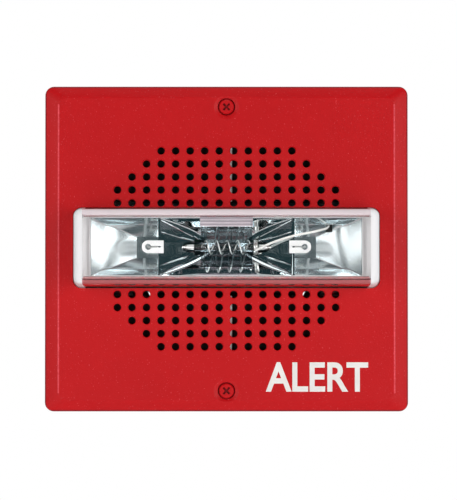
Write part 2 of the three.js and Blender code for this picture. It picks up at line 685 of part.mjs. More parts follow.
// An E-I core with its two windows open along Z, and the winding round its middle leg.
const CORE = { x: 38.5, halfWidth: 7.5, y0: 0.3, y1: 18.3, z0: 33, z1: 43, window0: 2.6, window1: 5.6 };

function transformerCore() {
  let core = block(CORE.x - CORE.halfWidth, CORE.x + CORE.halfWidth, CORE.y0, CORE.y1, CORE.z0, CORE.z1);
  for (const side of [-1, 1]) {
    const [x0, x1] = [CORE.x + side * CORE.window0, CORE.x + side * CORE.window1].sort((a, b) => a - b);
    core = cut(core, block(x0, x1, CORE.y0 + 3, CORE.y1 - 3, CORE.z0 - 1, CORE.z1 + 1));
  }
  return core;
}

function transformerWinding() {
  const half = CORE.window1 - GAP;
  const leg = CORE.window0 + GAP;
  const y0 = CORE.y0 + 3 + GAP;
  const y1 = CORE.y1 - 3 - GAP;
  const coil = block(CORE.x - half, CORE.x + half, y0, y1, CORE.z0 - 2.7, CORE.z1 + 2.7);
  const hole = block(CORE.x - leg, CORE.x + leg, CORE.y0, CORE.y1, CORE.z0 - GAP, CORE.z1 + GAP);
  return cut(coil, hole);
}

function addRearElectronics() {
  addNode('terminal_block', terminalBlock(), 'greenPlastic');
  for (let i = 0; i < TERMINAL.count; i += 1) {
    const x = terminalX(i);
    const top = TERMINAL.y1 - 1.4;
    const head = rodY(2.1, top - 2.6, top, x, -43, 12);
    const slot = block(x - 2.5, x + 2.5, top - 0.7, top + 1, -43.35, -42.65);
    addNode(`terminal_screw_${i + 1}`, cut(head, slot), 'zinc');
  }

  addNode('transformer_core', transformerCore(), 'ferrite');
  addNode('transformer_winding', transformerWinding(), 'copper');

  const tapBody = cut(block(-45, -33, 0.3, 7.3, -45, -33), rodY(3.6, 4.6, 8, -39, -39, 20));
  addNode('tap_switch', tapBody, 'blackPlastic');
  const grip = rodY(3.2, 4.9, 9.4, -39, -39, 20);
  const knobSlot = block(-42.5, -35.5, 8.2, 10, -39.45, -38.55);
  addNode('tap_knob', cut(grip, knobSlot), 'whitePlastic');
}

addCover();
addDustCloths();
addStrobeHousing();
addStrobeOptics();
addStrobeElectronics();
addPlate();
addDriver();
addRearElectronics();

export default hornStrobe;
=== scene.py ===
# %% [markdown]
# # A wall horn strobe
# The part is a fire alarm device for a flush electrical box. A red cover with a drilled
# grille hides a small moving-coil driver, and a clear lens across the middle holds a
# mirror reflector with a xenon flash tube. The CAD model gives every size and place;
# this file makes the surfaces and the finishes.

# %% Load the fixed frame
import math

import bmesh
import bpy
from mathutils import Matrix, Vector


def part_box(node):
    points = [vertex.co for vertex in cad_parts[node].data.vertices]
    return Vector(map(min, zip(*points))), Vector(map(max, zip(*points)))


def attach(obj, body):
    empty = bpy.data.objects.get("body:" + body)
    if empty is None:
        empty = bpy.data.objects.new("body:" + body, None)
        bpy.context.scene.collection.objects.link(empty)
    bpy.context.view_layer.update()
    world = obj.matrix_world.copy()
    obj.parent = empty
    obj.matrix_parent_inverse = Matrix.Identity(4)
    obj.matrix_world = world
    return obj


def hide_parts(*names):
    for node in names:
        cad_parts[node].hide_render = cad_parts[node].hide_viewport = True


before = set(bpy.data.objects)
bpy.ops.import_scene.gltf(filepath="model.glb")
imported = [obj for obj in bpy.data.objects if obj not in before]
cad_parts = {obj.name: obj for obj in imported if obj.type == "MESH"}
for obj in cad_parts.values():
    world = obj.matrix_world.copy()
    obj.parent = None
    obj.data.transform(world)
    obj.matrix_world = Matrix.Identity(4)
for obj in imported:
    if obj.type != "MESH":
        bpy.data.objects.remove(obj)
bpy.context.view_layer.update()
MM = 0.001

# %% [markdown]
# ## The camera
# The camera stands nearly square on, a little below the middle. Its lens is long, so that
# the cover stays a true rectangle and the clear lens hides little of the grille. The
# distance follows from how wide the cover is next to the height of the view.

# %% Camera
cover_low, cover_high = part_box("front_cover")
face_y = cover_low.y
cover_width = cover_high.x - cover_low.x
COVER_SHARE = 0.7274  # the cover's width as a share of the view's height
view_height = cover_width / COVER_SHARE

camera_data = bpy.data.cameras.new("camera")
camera_data.sensor_width = 36
camera_data.lens = 210
distance = camera_data.lens / camera_data.sensor_width * view_height
camera_data.clip_start = 0.05
camera_data.clip_end = 20
camera = bpy.data.objects.new("camera", camera_data)
bpy.context.scene.collection.objects.link(camera)
aim = Vector((0.75 * MM, face_y, -0.5 * MM))
below = math.radians(1.4)
camera.location = aim + distance * Vector((0, -math.cos(below), -math.sin(below)))
camera.rotation_euler = (aim - camera.location).to_track_quat("-Z", "Y").to_euler()
bpy.context.scene.camera = camera
print("camera distance:", round(distance, 3))

# %% [markdown]
# ## The studio
# The room is pale behind the object and dark teal behind the camera, which is what the
# mirror's middle trough shows. Two tall softboxes in front light the cover. A mirror shows
# a lamp only at one angle, so two narrow cards further round whiten the facets of its side
# cells, and two more do the same for its ends. One softbox above lights the upper edges.

# %% Room
scene = bpy.context.scene
scene.view_settings.view_transform = "Standard"


def make_room():
    world = bpy.data.worlds.new("room")
    scene.world = world
    world.use_nodes = True
    nodes, links = world.node_tree.nodes, world.node_tree.links
    white = nodes["Background"]
    white.inputs["Color"].default_value = (1, 1, 1, 1)
    white.inputs["Strength"].default_value = 1.0
    walls = nodes.new("ShaderNodeBackground")
    walls.inputs["Strength"].default_value = 0.7
    direction = nodes.new("ShaderNodeTexCoord")
    split = nodes.new("ShaderNodeSeparateXYZ")
    shade = nodes.new("ShaderNodeValToRGB")
    shade.color_ramp.elements[0].position = 0.0
    shade.color_ramp.elements[0].color = (0.025, 0.055, 0.062, 1)
    shade.color_ramp.elements[1].position = 1.0
    shade.color_ramp.elements[1].color = (0.9, 0.9, 0.9, 1)
    spread = nodes.new("ShaderNodeMapRange")
    spread.inputs["From Min"].default_value = -0.25
    spread.inputs["From Max"].default_value = 0.5
    path = nodes.new("ShaderNodeLightPath")
    mix = nodes.new("ShaderNodeMixShader")
    links.new(direction.outputs["Generated"], split.inputs["Vector"])
    links.new(split.outputs["Y"], spread.inputs["Value"])
    links.new(spread.outputs["Result"], shade.inputs["Fac"])
    links.new(shade.outputs["Color"], walls.inputs["Color"])
    links.new(path.outputs["Is Camera Ray"], mix.inputs["Fac"])
    links.new(walls.outputs["Background"], mix.inputs[1])
    links.new(white.outputs["Background"], mix.inputs[2])
    links.new(mix.outputs["Shader"], nodes["World Output"].inputs["Surface"])


make_room()


# %% Softboxes
def softbox(name, place, size, power):
    light = bpy.data.lights.new(name, "AREA")
    light.shape = "RECTANGLE"
    light.size, light.size_y = size
    light.energy = power
    lamp = bpy.data.objects.new(name, light)
    scene.collection.objects.link(lamp)
    lamp.location = place
    lamp.rotation_euler = (-Vector(place)).to_track_quat("-Z", "Z").to_euler()
    return lamp


# Each pair: its name, how far out and in front it stands, its width and height, and the
# power of the left lamp and of the right one.
PAIRS = [
    ("softbox", 0.66, -1.20, (0.34, 0.9), 5.0, 5.7),
    ("card", 0.93, -0.99, (0.20, 1.1), 1.05, 1.45),
    ("side_card", 1.27, -0.50, (0.20, 0.8), 1.0, 1.8),
]
LAMP_Z = 0.05
for name, out, ahead, panel, left_power, right_power in PAIRS:
    softbox(f"{name}_left", (-out, ahead, LAMP_Z), panel, left_power)
    softbox(f"{name}_right", (out, ahead, LAMP_Z), panel, right_power)
softbox("softbox_above", (0.0, -0.25, 1.3), (1.4, 0.4), 4.2)

# %% Floor
bpy.ops.mesh.primitive_circle_add(vertices=64, radius=1.2, fill_type="NGON", location=(0, 0, -0.4))
floor = bpy.context.object
floor.name = "floor"

# %% [markdown]
# ## Node arithmetic
# Finishes and repeated shapes are both made of nodes. What a node gives back is a signal
# that can be used in plain arithmetic, and each operation adds a Math node. A comparison
# gives 1 or 0, a product of two of them means both, and the bar | means either.

# %% Signals and trees
class Signal:
    """A node's output. Arithmetic on it adds Math nodes."""

    def __init__(self, owner, socket):
        self.owner = owner
        self.socket = socket

    def math(self, operation, first, second):
        return self.owner.node("ShaderNodeMath", {"operation": operation}, {0: first, 1: second})

    def __add__(self, other):
        return self.math("ADD", self, other)

    __radd__ = __add__

    def __sub__(self, other):
        return self.math("SUBTRACT", self, other)

    def __rsub__(self, other):
        return self.math("SUBTRACT", other, self)

    def __mul__(self, other):
        return self.math("MULTIPLY", self, other)

    __rmul__ = __mul__

    def __truediv__(self, other):
        return self.math("DIVIDE", self, other)

    def __gt__(self, other):
        return self.math("GREATER_THAN", self, other)

    def __lt__(self, other):
        return self.math("LESS_THAN", self, other)

    def __pow__(self, other):
        return self.math("POWER", self, other)

    def __or__(self, other):
        return self.math("MAXIMUM", self, other)

    def __abs__(self):
        return self.owner.node("ShaderNodeMath", {"operation": "ABSOLUTE"}, {0: self})


class Tree:
    """What finishes and shape recipes share: one method that adds any node."""

    def node(self, kind, settings=None, inputs=None, output=0):
        made = self.tree.nodes.new(kind)
        for key, value in (settings or {}).items():
            setattr(made, key, value)
        for key, value in (inputs or {}).items():
            for one in value if isinstance(value, list) else [value]:
                if isinstance(one, Signal):
                    self.tree.links.new(one.socket, made.inputs[key])
                else:
                    made.inputs[key].default_value = one
        return Signal(self, made.outputs[output])

    def vector(self, x, y, z):
        return self.node("ShaderNodeCombineXYZ", inputs={0: x, 1: y, 2: z})


# %% A finish
class Finish(Tree):
    """One material, built round its Principled shader."""

    def __init__(self, name, **constants):
        self.material = bpy.data.materials.new(name)
        self.material.use_nodes = True
        self.tree = self.material.node_tree
        self.shader = self.tree.nodes["Principled BSDF"]
        for key, value in constants.items():
            self.shader.inputs[key.replace("_", " ")].default_value = value

    def feed(self, socket, signal):
        self.tree.links.new(signal.socket, self.shader.inputs[socket])

    def place(self):
        return self.node("ShaderNodeTexCoord", output="Object")

    def along(self, axis):
        """The distance along one axis, in metres."""
        return self.node("ShaderNodeSeparateXYZ", inputs={0: self.place()}, output=axis)

    def noise(self, size, detail=2.0, stretch=(1, 1, 1)):
        """Noise whose features are about `size` millimetres across."""
        where = self.node("ShaderNodeMapping", inputs={"Vector": self.place(), "Scale": stretch})
        inputs = {"Vector": where, "Scale": 1 / (size * MM), "Detail": detail}
        return self.node("ShaderNodeTexNoise", inputs=inputs)

    def blend(self, amount, first, second):
        """A colour between two, each of which is a signal or a plain colour."""
        first, second = (one if isinstance(one, Signal) else (*one, 1) for one in (first, second))
        inputs = {0: amount, 6: first, 7: second}
        return self.node("ShaderNodeMix", {"data_type": "RGBA"}, inputs, output=2)

    def bump(self, height, depth, strength=1.0):
        """A bump whose full height is `depth` millimetres."""
        inputs = {"Height": height, "Distance": depth * MM, "Strength": strength}
        self.feed("Normal", self.node("ShaderNodeBump", inputs=inputs))


def shades(colour, spread):
    """A darker and a lighter neighbour of a colour."""
    return [tuple(c * (1 - spread) for c in colour), tuple(min(1, c * (1 + spread)) for c in colour)]


# %% A shape recipe
SOCKETS = {int: "NodeSocketInt", float: "NodeSocketFloat", bpy.types.Material: "NodeSocketMaterial"}


class Recipe(Tree):
    """A Geometry Nodes tree with named inputs, used as a modifier and then made a mesh."""

    def __init__(self, name, **inputs):
        self.tree = bpy.data.node_groups.new(name, "GeometryNodeTree")
        self.values = inputs
        face = self.tree.interface
        face.new_socket("Geometry", in_out="INPUT", socket_type="NodeSocketGeometry")
        face.new_socket("Geometry", in_out="OUTPUT", socket_type="NodeSocketGeometry")
        for key, value in inputs.items():
            face.new_socket(key, in_out="INPUT", socket_type=SOCKETS[type(value)])
        self.source = self.tree.nodes.new("NodeGroupInput")
        self.sink = self.tree.nodes.new("NodeGroupOutput")

    def shape(self):
        """The geometry that the recipe is given."""
        return Signal(self, self.source.outputs["Geometry"])

    def given(self, name):
        return Signal(self, self.source.outputs[name])

    def part(self, kind, settings=None, **sockets):
        """A geometry node. In a socket's name an underscore stands for a space."""
        inputs = {key.replace("_", " "): value for key, value in sockets.items()}
        return self.node("GeometryNode" + kind, settings, inputs)

    def moved(self, geometry, z):
        return self.part("Transform", Geometry=geometry, Translation=self.vector(0, 0, z))

    def close(self, geometry):
        """The tree's end: instances made real, and the finish put on."""
        real = self.part("RealizeInstances", Geometry=geometry)
        dressed = self.part("SetMaterial", Geometry=real, Material=self.given("finish"))
        self.tree.links.new(dressed.socket, self.sink.inputs[0])

    def cook(self, mesh, **changes):
        """Run the tree on a mesh and return the result as a plain mesh."""
        carrier = bpy.data.objects.new("carrier", mesh)
        scene.collection.objects.link(carrier)
        modifier = carrier.modifiers.new("recipe", "NODES")
        modifier.node_group = self.tree
        for item in self.tree.interface.items_tree:
            if item.in_out == "INPUT" and item.name in self.values:
                modifier[item.identifier] = changes.get(item.name, self.values[item.name])
        return plain_mesh(carrier)


def plain_mesh(carrier):
    """The evaluated mesh of an object, which is then taken away."""
    depsgraph = bpy.context.evaluated_depsgraph_get()
    mesh = bpy.data.meshes.new_from_object(carrier.evaluated_get(depsgraph))
    bpy.data.objects.remove(carrier)
    return mesh


# %% [markdown]
# ## Making meshes
# Most of these parts are moulded, turned or pressed, so two kinds of shape make nearly all
# of them: a loft through rounded rectangles, and a profile turned round an axis. Shapes are
# joined and cut with the Manifold solver, which keeps every result closed.

# %% Outlines, lofts and turned shapes
def rounded(half_wide, half_high, radius, centre_x=0.0, centre_z=0.0, steps=8):
    """The points of a rounded rectangle in the XZ plane, in millimetres."""
    points = []
    for quarter, (sx, sz) in enumerate([(1, 1), (-1, 1), (-1, -1), (1, -1)]):
        for step in range(steps + 1):
            angle = (quarter + step / steps) * math.pi / 2
            x = sx * (half_wide - radius) + radius * math.cos(angle)
            z = sz * (half_high - radius) + radius * math.sin(angle)
            points.append((centre_x + x, centre_z + z))
    return points


def mesh_from(bm):
    """A mesh in metres from a bmesh built in millimetres."""
    bmesh.ops.remove_doubles(bm, verts=bm.verts, dist=0.0005)
    bmesh.ops.recalc_face_normals(bm, faces=bm.faces)
    bmesh.ops.scale(bm, verts=bm.verts, vec=(MM, MM, MM))
    mesh = bpy.data.meshes.new("shape")
    bm.to_mesh(mesh)
    bm.free()
    return mesh


def loft(sections):
    """A closed solid through sections (y, outline), which have equal numbers of points."""
    bm = bmesh.new()
    rings = [[bm.verts.new((x, y, z)) for x, z in outline] for y, outline in sections]
    count = len(rings[0])
    for near, far in zip(rings, rings[1:]):
        for i in range(count):
            j = (i + 1) % count
            bm.faces.new((near[i], near[j], far[j], far[i]))
    bm.faces.new(rings[0])
    bm.faces.new(rings[-1][::-1])
    return mesh_from(bm)


def turned(profile, steps=48, centre=(0.0, 0.0), along="Y"):
    """A closed profile of (radius, distance) points turned round an axis along Y or X."""
    bm = bmesh.new()
    rings = []
    for step in range(steps):
        angle = 2 * math.pi * step / steps
        a, b = math.cos(angle), math.sin(angle)
        if along == "Y":
            ring = [bm.verts.new((centre[0] + r * a, d, centre[1] + r * b)) for r, d in profile]
        else:
            ring = [bm.verts.new((d, centre[0] + r * a, centre[1] + r * b)) for r, d in profile]
        rings.append(ring)
    count = len(profile)
    for near, far in zip(rings, rings[1:] + rings[:1]):
        for i in range(count):
            j = (i + 1) % count
            if profile[i][0] > 0 or profile[j][0] > 0:
                bm.faces.new((near[i], near[j], far[j], far[i]))
    bmesh.ops.remove_doubles(bm, verts=bm.verts, dist=0.0005)
    bmesh.ops.dissolve_degenerate(bm, edges=bm.edges, dist=0.0005)
    return mesh_from(bm)


def rounded_corner(before, corner, after, radius, steps=5):
    """The arc that rounds off the corner of a path in a plane."""
    before, corner, after = Vector(before), Vector(corner), Vector(after)
    back, ahead = (before - corner).normalized(), (after - corner).normalized()
    half = math.acos(max(-1, min(1, back.dot(ahead)))) / 2
    reach = radius / math.tan(half)
    centre = corner + (back + ahead).normalized() * radius / math.sin(half)
    start, end = corner + back * reach - centre, corner + ahead * reach - centre
    sweep = start.angle_signed(end)
    turn = [Matrix.Rotation(-sweep * i / steps, 2) for i in range(steps + 1)]
    return [tuple(centre + rotation @ start) for rotation in turn]


def rod(radius, y0, y1, x=0.0, z=0.0, steps=32):
    return turned([(0, y0), (radius, y0), (radius, y1), (0, y1)], steps, (x, z))


def box_between(x0, x1, y0, y1, z0, z1):
    corners = [(x0, z0), (x1, z0), (x1, z1), (x0, z1)]
    return loft([(y0, corners), (y1, corners)])


# %% Joining and cutting
def combined(base, operation, *tools):
    """The base mesh joined with or cut by other meshes."""
    carrier = bpy.data.objects.new("carrier", base)
    scene.collection.objects.link(carrier)
    helpers = []
    for tool in tools:
        helper = bpy.data.objects.new("helper", tool)
        scene.collection.objects.link(helper)
        helpers.append(helper)
        modifier = carrier.modifiers.new("combine", "BOOLEAN")
        modifier.operation = operation
        modifier.solver = "MANIFOLD"
        modifier.object = helper
    result = plain_mesh(carrier)
    for helper in helpers:
        bpy.data.objects.remove(helper)
    return result


def join(base, *tools):
    return combined(base, "UNION", *tools)


def cut(base, *tools):
    return combined(base, "DIFFERENCE", *tools)


# %% Placing a piece
def box_mm(node):
    """The low and high corners of a CAD node, in millimetres."""
    low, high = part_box(node)
    return low / MM, high / MM


def place_piece(name, mesh, finish, nodes, body="housing", smooth_below=32):
    """One finished piece: its finish, its shading, its body and the CAD nodes it stands for."""
    mesh.name = name
    mesh.materials.clear()
    mesh.materials.append(finish)
    mesh.shade_smooth()
    mesh.set_sharp_from_angle(angle=math.radians(smooth_below))
    for polygon in mesh.polygons:
        if abs(polygon.normal.y) > 0.99995:
            polygon.use_smooth = False
    thing = bpy.data.objects.new(name, mesh)
    scene.collection.objects.link(thing)
    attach(thing, body)
    if nodes:
        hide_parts(*nodes)
    print(name, len(mesh.polygons), "faces")
    return thing


def eased(node, width, finish, slot, body="housing", segments=2):
    """A CAD node again, with its sharp edges rounded off by a bevel `width` millimetres wide."""
    bm = bmesh.new()
    bm.from_mesh(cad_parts[node].data)
    bmesh.ops.remove_doubles(bm, verts=bm.verts, dist=1e-6)
    bmesh.ops.dissolve_limit(bm, angle_limit=math.radians(1), verts=bm.verts, edges=bm.edges)
    mesh = bpy.data.meshes.new(node)
    bm.to_mesh(mesh)
    bm.free()
    carrier = bpy.data.objects.new("carrier", mesh)
    scene.collection.objects.link(carrier)
    bevel = carrier.modifiers.new("bevel", "BEVEL")
    bevel.width = width * MM
    bevel.segments = segments
    bevel.limit_method = "ANGLE"
    bevel.angle_limit = math.radians(40)
    bevel.harden_normals = True
    return place_piece(node + "_fine", plain_mesh(carrier), finish, [node], body, smooth_below=50)


# %% [markdown]
# ## Finishes
# Each finish has its own colour, gloss and fine relief, at the real scale of the process
# that makes it: moulding texture, plating grain, paper fibre or cloth weave. A mark in one
# place, such as the painted highlight on a ridge, is a comparison of the distance along an axis.
# Some finishes also have painted light and shade in their colour.

# %% Moulded and painted finishes
RED = (0.595, 0.0045, 0.0075)
WHITE = (0.76, 0.75, 0.71)
DEVICE_Z = 0.3  # the height of the lens's middle, in millimetres
RIDGE_X = 61.6
RIDGE_END_Z = 53.0
OUTER_X, OUTER_Z = 66.1, 59.1
SCREEN_Z = 13.3


def painted_highlights_and_rim_shade(finish, colour):
    """A painted highlight along the face's two upright ridges, painted shade on the outer rim and painted
    glints.
    """
    reach_x = abs(finish.along(0))
    reach_z = abs(finish.along(2))
    depth = finish.along(1)
    on_ridge = (abs(reach_x - RIDGE_X * MM) < 0.28 * MM) * (reach_z < RIDGE_END_Z * MM)
    # Painted highlight on each upright ridge, where the side lamps would show on its edge.
    thin = on_ridge * (depth < face_y + 0.8 * MM) * (finish.noise(0.8, 1) * 1.1 + 0.05)
    outside = (reach_x > OUTER_X * MM) | (reach_z > OUTER_Z * MM)
    # Painted shade on the outer rim and its fillet.
    rim = outside * (depth < face_y + 3.2 * MM) * 0.55
    # Painted glints scattered in the grain.
    glints = (finish.noise(0.5, 1) > 0.72) * 0.35
    colour = finish.blend(glints, colour, (0.85, 0.16, 0.18))
    colour = finish.blend(thin, colour, (0.92, 0.10, 0.13))
    return finish.blend(rim, colour, (0.16, 0.008, 0.015))


def painted_slot_shade(finish, colour):
    """Painted shade at the bottom of a painted screw's slots."""
    # Painted shade, darker the deeper into the slot.
    deep = (finish.along(1) > face_y + 0.55 * MM) * 0.6
    return finish.blend(deep, colour, (0.05, 0.004, 0.006))


def textured_red(name, relief, painted_light):
    """Red plastic with a moulded grain; the last argument paints highlights and shade into its colour."""
    finish = Finish(name, IOR=1.5, Specular_IOR_Level=0.22)
    patches = finish.noise(14, 3)
    colour = finish.blend(patches, *shades(RED, 0.05))
    # The colour gets its painted highlights and painted shade here.
    finish.feed("Base Color", painted_light(finish, colour))
    finish.feed("Roughness", finish.noise(0.9, 2) * 0.12 + 0.33)
    grain = finish.noise(0.55, 3) * 0.7 + finish.noise(1.6, 1) * 0.3
    finish.bump(grain, relief)
    return finish.material


def moulded(name, colour, roughness, relief=0.012, size=0.5):
    """Plain plastic: slight patches of colour and gloss, and a grain `relief` millimetres high."""
    finish = Finish(name, IOR=1.49)
    finish.feed("Base Color", finish.blend(finish.noise(6, 3), *shades(colour, 0.08)))
    finish.feed("Roughness", finish.noise(1.1, 2) * 0.14 + (roughness - 0.07))
    finish.bump(finish.noise(size, 2), relief)
    return finish.material


def plastic_with_painted_shade():
    """White plastic under the lens, with painted shade, near black, where it would show through the
    grille.
    """
    finish = Finish("white_with_painted_shade", IOR=1.49)
    # Painted shade: near black further out than the screen's edge from the lens's middle.
    edge = abs(finish.along(2) - DEVICE_Z * MM) + finish.noise(1.5, 2) * 0.2 * MM
    finish.feed("Base Color", finish.blend(edge > SCREEN_Z * MM, WHITE, (0.012, 0.011, 0.011)))
    finish.feed("Roughness", finish.noise(1.1, 2) * 0.14 + 0.42)
    finish.bump(finish.noise(0.5, 2), 0.012)
    return finish.material


# The cover's finish has a painted ridge highlight, painted glints and a painted shaded rim; the screws'
# finish has painted shade in the slots.
cover_paint = textured_red("cover_red", 0.09, painted_highlights_and_rim_shade)
screw_paint = textured_red("screw_red", 0.015, painted_slot_shade)
black_plastic = moulded("black_plastic", (0.012, 0.012, 0.013), 0.5)
white_plastic = moulded("white_plastic", WHITE, 0.45)
white_with_painted_shade = plastic_with_painted_shade()
green_plastic = moulded("green_plastic", (0.02, 0.16, 0.07), 0.45)
marking_ink = moulded("marking_ink", (0.95, 0.89, 0.85), 0.5, relief=0.02)
sleeve = moulded("capacitor_sleeve", (0.018, 0.022, 0.04), 0.3, relief=0.004)
lead_rubber = moulded("lead_white", (0.84, 0.83, 0.80), 0.45, relief=0.004)


# %% Clear plastic and glass
# The lens's ends are painted white, a painted reflection of the side lamps.
PAINTED_ENDS_X = 51.9  # the lens's ends are white from here on
SHOULDER_Z = 12.1
SHOULDER_EXTRA = 0.8
SHOULDER_Y = -43.5


def mixed(finish, amount, first, second):
    """Mixes two shaders and makes the result the finish's surface."""
    mix = finish.tree.nodes.new("ShaderNodeMixShader")
    finish.tree.links.new(amount.socket, mix.inputs[0])
    finish.tree.links.new(first, mix.inputs[1])
    finish.tree.links.new(second, mix.inputs[2])
    finish.tree.links.new(mix.outputs[0], finish.tree.nodes["Material Output"].inputs["Surface"])
    return mix.outputs[0]


def clear(name, index, roughness, tint, ripple):
    """Clear plastic or glass, which lets most light through instead of casting a shadow."""
    finish = Finish(name, IOR=index, Transmission_Weight=1.0, Roughness=roughness)
    finish.feed("Base Color", finish.blend(finish.noise(9, 1), tint, (1, 1, 1)))
    finish.bump(finish.noise(5, 1), ripple)
    let_through = finish.node("ShaderNodeLightPath", output="Is Shadow Ray") * 0.9
    see_through = finish.node("ShaderNodeBsdfTransparent").socket
    return finish, mixed(finish, let_through, finish.shader.outputs[0], see_through)


def painted_lens_reflections(finish, surface):
    """Painted white on the ends for the side lamps' reflection, and a painted reflection of the red cover
    on the shoulders, with painted light from above on the upper one.
    """
    height = finish.along(2) - DEVICE_Z * MM
    above = height > 0.0
    far_out = abs(height) + above * SHOULDER_EXTRA * MM > SHOULDER_Z * MM
    shoulder = far_out * (finish.along(1) < SHOULDER_Y * MM) * (above * 0.2 + 0.72)
    ends = abs(finish.along(0)) > PAINTED_ENDS_X * MM
    # Painted reflection of the red cover on the lower shoulder, and painted light from above, pink then
    # near white, on the upper one.
    upper = finish.blend(height > 13.4 * MM, (0.94, 0.80, 0.83), (0.88, 0.42, 0.45))
    colour = finish.blend(above, (0.70, 0.16, 0.17), upper)
    # Painted white ends, standing in for the side lamps' reflection.
    colour = finish.blend(ends, colour, (0.97, 0.94, 0.95))
    reflection_paint = finish.node("ShaderNodeBsdfPrincipled", inputs={"Base Color": colour, "Roughness": 0.4})
    mixed(finish, shoulder | ends, surface, reflection_paint.socket)
    return finish.material


lens_clear = painted_lens_reflections(*clear("lens_clear", 1.53, 0.01, (0.975, 0.985, 0.985), 0.004))
tube_glass = clear("tube_glass", 1.47, 0.015, (0.98, 0.985, 0.99), 0.002)[0].material


# %% Metals
def metal(name, colour, roughness, grain=0.6, stretch=(1, 1, 1), relief=0.004):
    """Bare metal whose grain can be stretched along one axis."""
    finish = Finish(name, Metallic=1.0)
    finish.feed("Base Color", finish.blend(finish.noise(4, 3), *shades(colour, 0.08)))
    finish.feed("Roughness", finish.noise(grain, 3, stretch) * 0.2 + (roughness - 0.1))
    finish.bump(finish.noise(grain, 2, stretch), relief)
    return finish.material


RIM_Z, RIM_X = 10.55, 49.1
LEDGE_Z, LEDGE_X = 7.8, 9.6
LEDGE_PITCH = 1.1
DARKER_Z, DARKER_X = 7.3, 9.4
SIDE_CELL_X = 24.5


def plated_mirror():
    """Vacuum plating in the cells, darker and teal round the tube; the rim and the ledge stay bare
    plastic, and the ledge's steps get painted stripes of light and shade.
    """
    finish = Finish("chrome_reflector")
    width = abs(finish.along(0))
    height = abs(finish.along(2) - DEVICE_Z * MM)
    ledge = (finish.along(2) > LEDGE_Z * MM) * (width < LEDGE_X * MM)
    bare = (height > RIM_Z * MM) | (width > RIM_X * MM) | ledge
    plating = finish.blend(finish.noise(6, 3), (0.74, 0.80, 0.82), (0.84, 0.89, 0.90))
    # The plating is darker and teal round the tube.
    tube_darkening = (width < DARKER_X * MM) * (height < DARKER_Z * MM) * (finish.noise(3, 2) * 0.5 + 0.62)
    plating = finish.blend(tube_darkening, plating, (0.10, 0.15, 0.17))
    # Painted light and shade: stripes at the pitch of the ledge's steps.
    wave = finish.along(2) * (2 * math.pi / (LEDGE_PITCH * MM))
    painted_step_stripes = finish.node("ShaderNodeMath", {"operation": "SINE"}, {0: wave}) * 0.5 + 0.5
    ribbed = finish.blend(painted_step_stripes, (0.34, 0.30, 0.33), (0.68, 0.60, 0.65))
    plastic = finish.blend(ledge, (0.84, 0.83, 0.83), ribbed)
    finish.feed("Base Color", finish.blend(bare, plating, plastic))
    finish.feed("Metallic", 1 - bare)
    dulled = bare * 0.38 + (width > SIDE_CELL_X * MM) * 0.13
    finish.feed("Roughness", finish.noise(5, 2) * 0.04 + 0.015 + dulled)
    finish.bump(finish.noise(7, 2), 0.02)
    return finish.material


mirror_finish = plated_mirror()
zinc = metal("zinc_plate", (0.62, 0.63, 0.62), 0.38, grain=1.2)
bright_steel = metal("steel_screw", (0.66, 0.66, 0.65), 0.28)
clip_plastic = moulded("clip_plastic", (0.85, 0.85, 0.84), 0.35, relief=0.004)
tinned = metal("tinned_metal", (0.80, 0.79, 0.76), 0.3, grain=0.4)
bright_wire = metal("bright_wire", (0.94, 0.93, 0.91), 0.46, grain=0.4)
copper = metal("coil_copper", (0.78, 0.34, 0.16), 0.3, grain=0.15, stretch=(1, 12, 1))
motor_steel = metal("motor_steel", (0.50, 0.51, 0.52), 0.4, grain=0.8)
core_steel = metal("core_steel", (0.17, 0.17, 0.18), 0.45, grain=0.35, stretch=(1, 1, 0.05))


# %% Paper, cloth, ferrite and board
def fibrous(name, colour, size, relief):
    """Paper or cloth, with fibres longer one way than the other."""
    finish = Finish(name, Roughness=0.85, Sheen_Weight=0.1)
    fibre = finish.noise(size, 4, (1, 0.6, 1.6))
    finish.feed("Base Color", finish.blend(fibre, *shades(colour, 0.35)))
    finish.bump(fibre, relief)
    return finish.material


cone_paper = fibrous("cone_paper", (0.020, 0.020, 0.021), 0.7, 0.06)
surround_rubber = moulded("surround_rubber", (0.012, 0.012, 0.012), 0.55, relief=0.01)
spider_cloth = fibrous("spider_cloth", (0.42, 0.22, 0.07), 0.5, 0.08)
dust_cloth = fibrous("dust_cloth", (0.010, 0.010, 0.010), 0.4, 0.08)
ferrite = moulded("ferrite", (0.030, 0.030, 0.033), 0.6, relief=0.03, size=0.3)
board_green = moulded("board_green", (0.015, 0.10, 0.04), 0.35, relief=0.006)


# %% [markdown]
# ## The red cover
# The real cover is an injection moulding with a lightly textured, painted face. Its edges
# are rounded, and those small radii catch the light, so the shell is a loft whose edges
# are true arcs. The window, the bosses and the two screw dishes are joined and cut.

# %% Cover shell
back_y = cover_high.y / MM
front_y = face_y / MM
WALL = 2.4
SLOPE_SIDE = 5.0
SLOPE_END = 4.2
SLOPE_DROP = 2.2
inside_y = front_y + WALL
half_wide = cover_width / MM / 2
half_high = (cover_high.z - cover_low.z) / MM / 2


def cover_profile():
    """(inset, y) points from the rear edge to the face, with both edges rounded."""
    foot, crest = (0, front_y + SLOPE_DROP), (SLOPE_SIDE, front_y)
    edge = rounded_corner((0, back_y), foot, crest, 1.1)
    ridge = rounded_corner(foot, crest, (half_wide, front_y), 0.9)
    return [(0, back_y), *edge, *ridge]


def cover_outline(inset, wall=0.0):
    side = half_wide - wall - inset
    end = half_high - wall - inset * SLOPE_END / SLOPE_SIDE
    return rounded(side, end, max(0.9, 3.3 - wall))


def cover_shell():
    outer = loft([(y, cover_outline(inset)) for inset, y in cover_profile()])
    hollow = loft([
        (back_y + 1, cover_outline(0, WALL)),
        (inside_y + SLOPE_DROP, cover_outline(0, WALL)),
        (inside_y, cover_outline(SLOPE_SIDE, WALL)),
    ])
    return cut(outer, hollow)


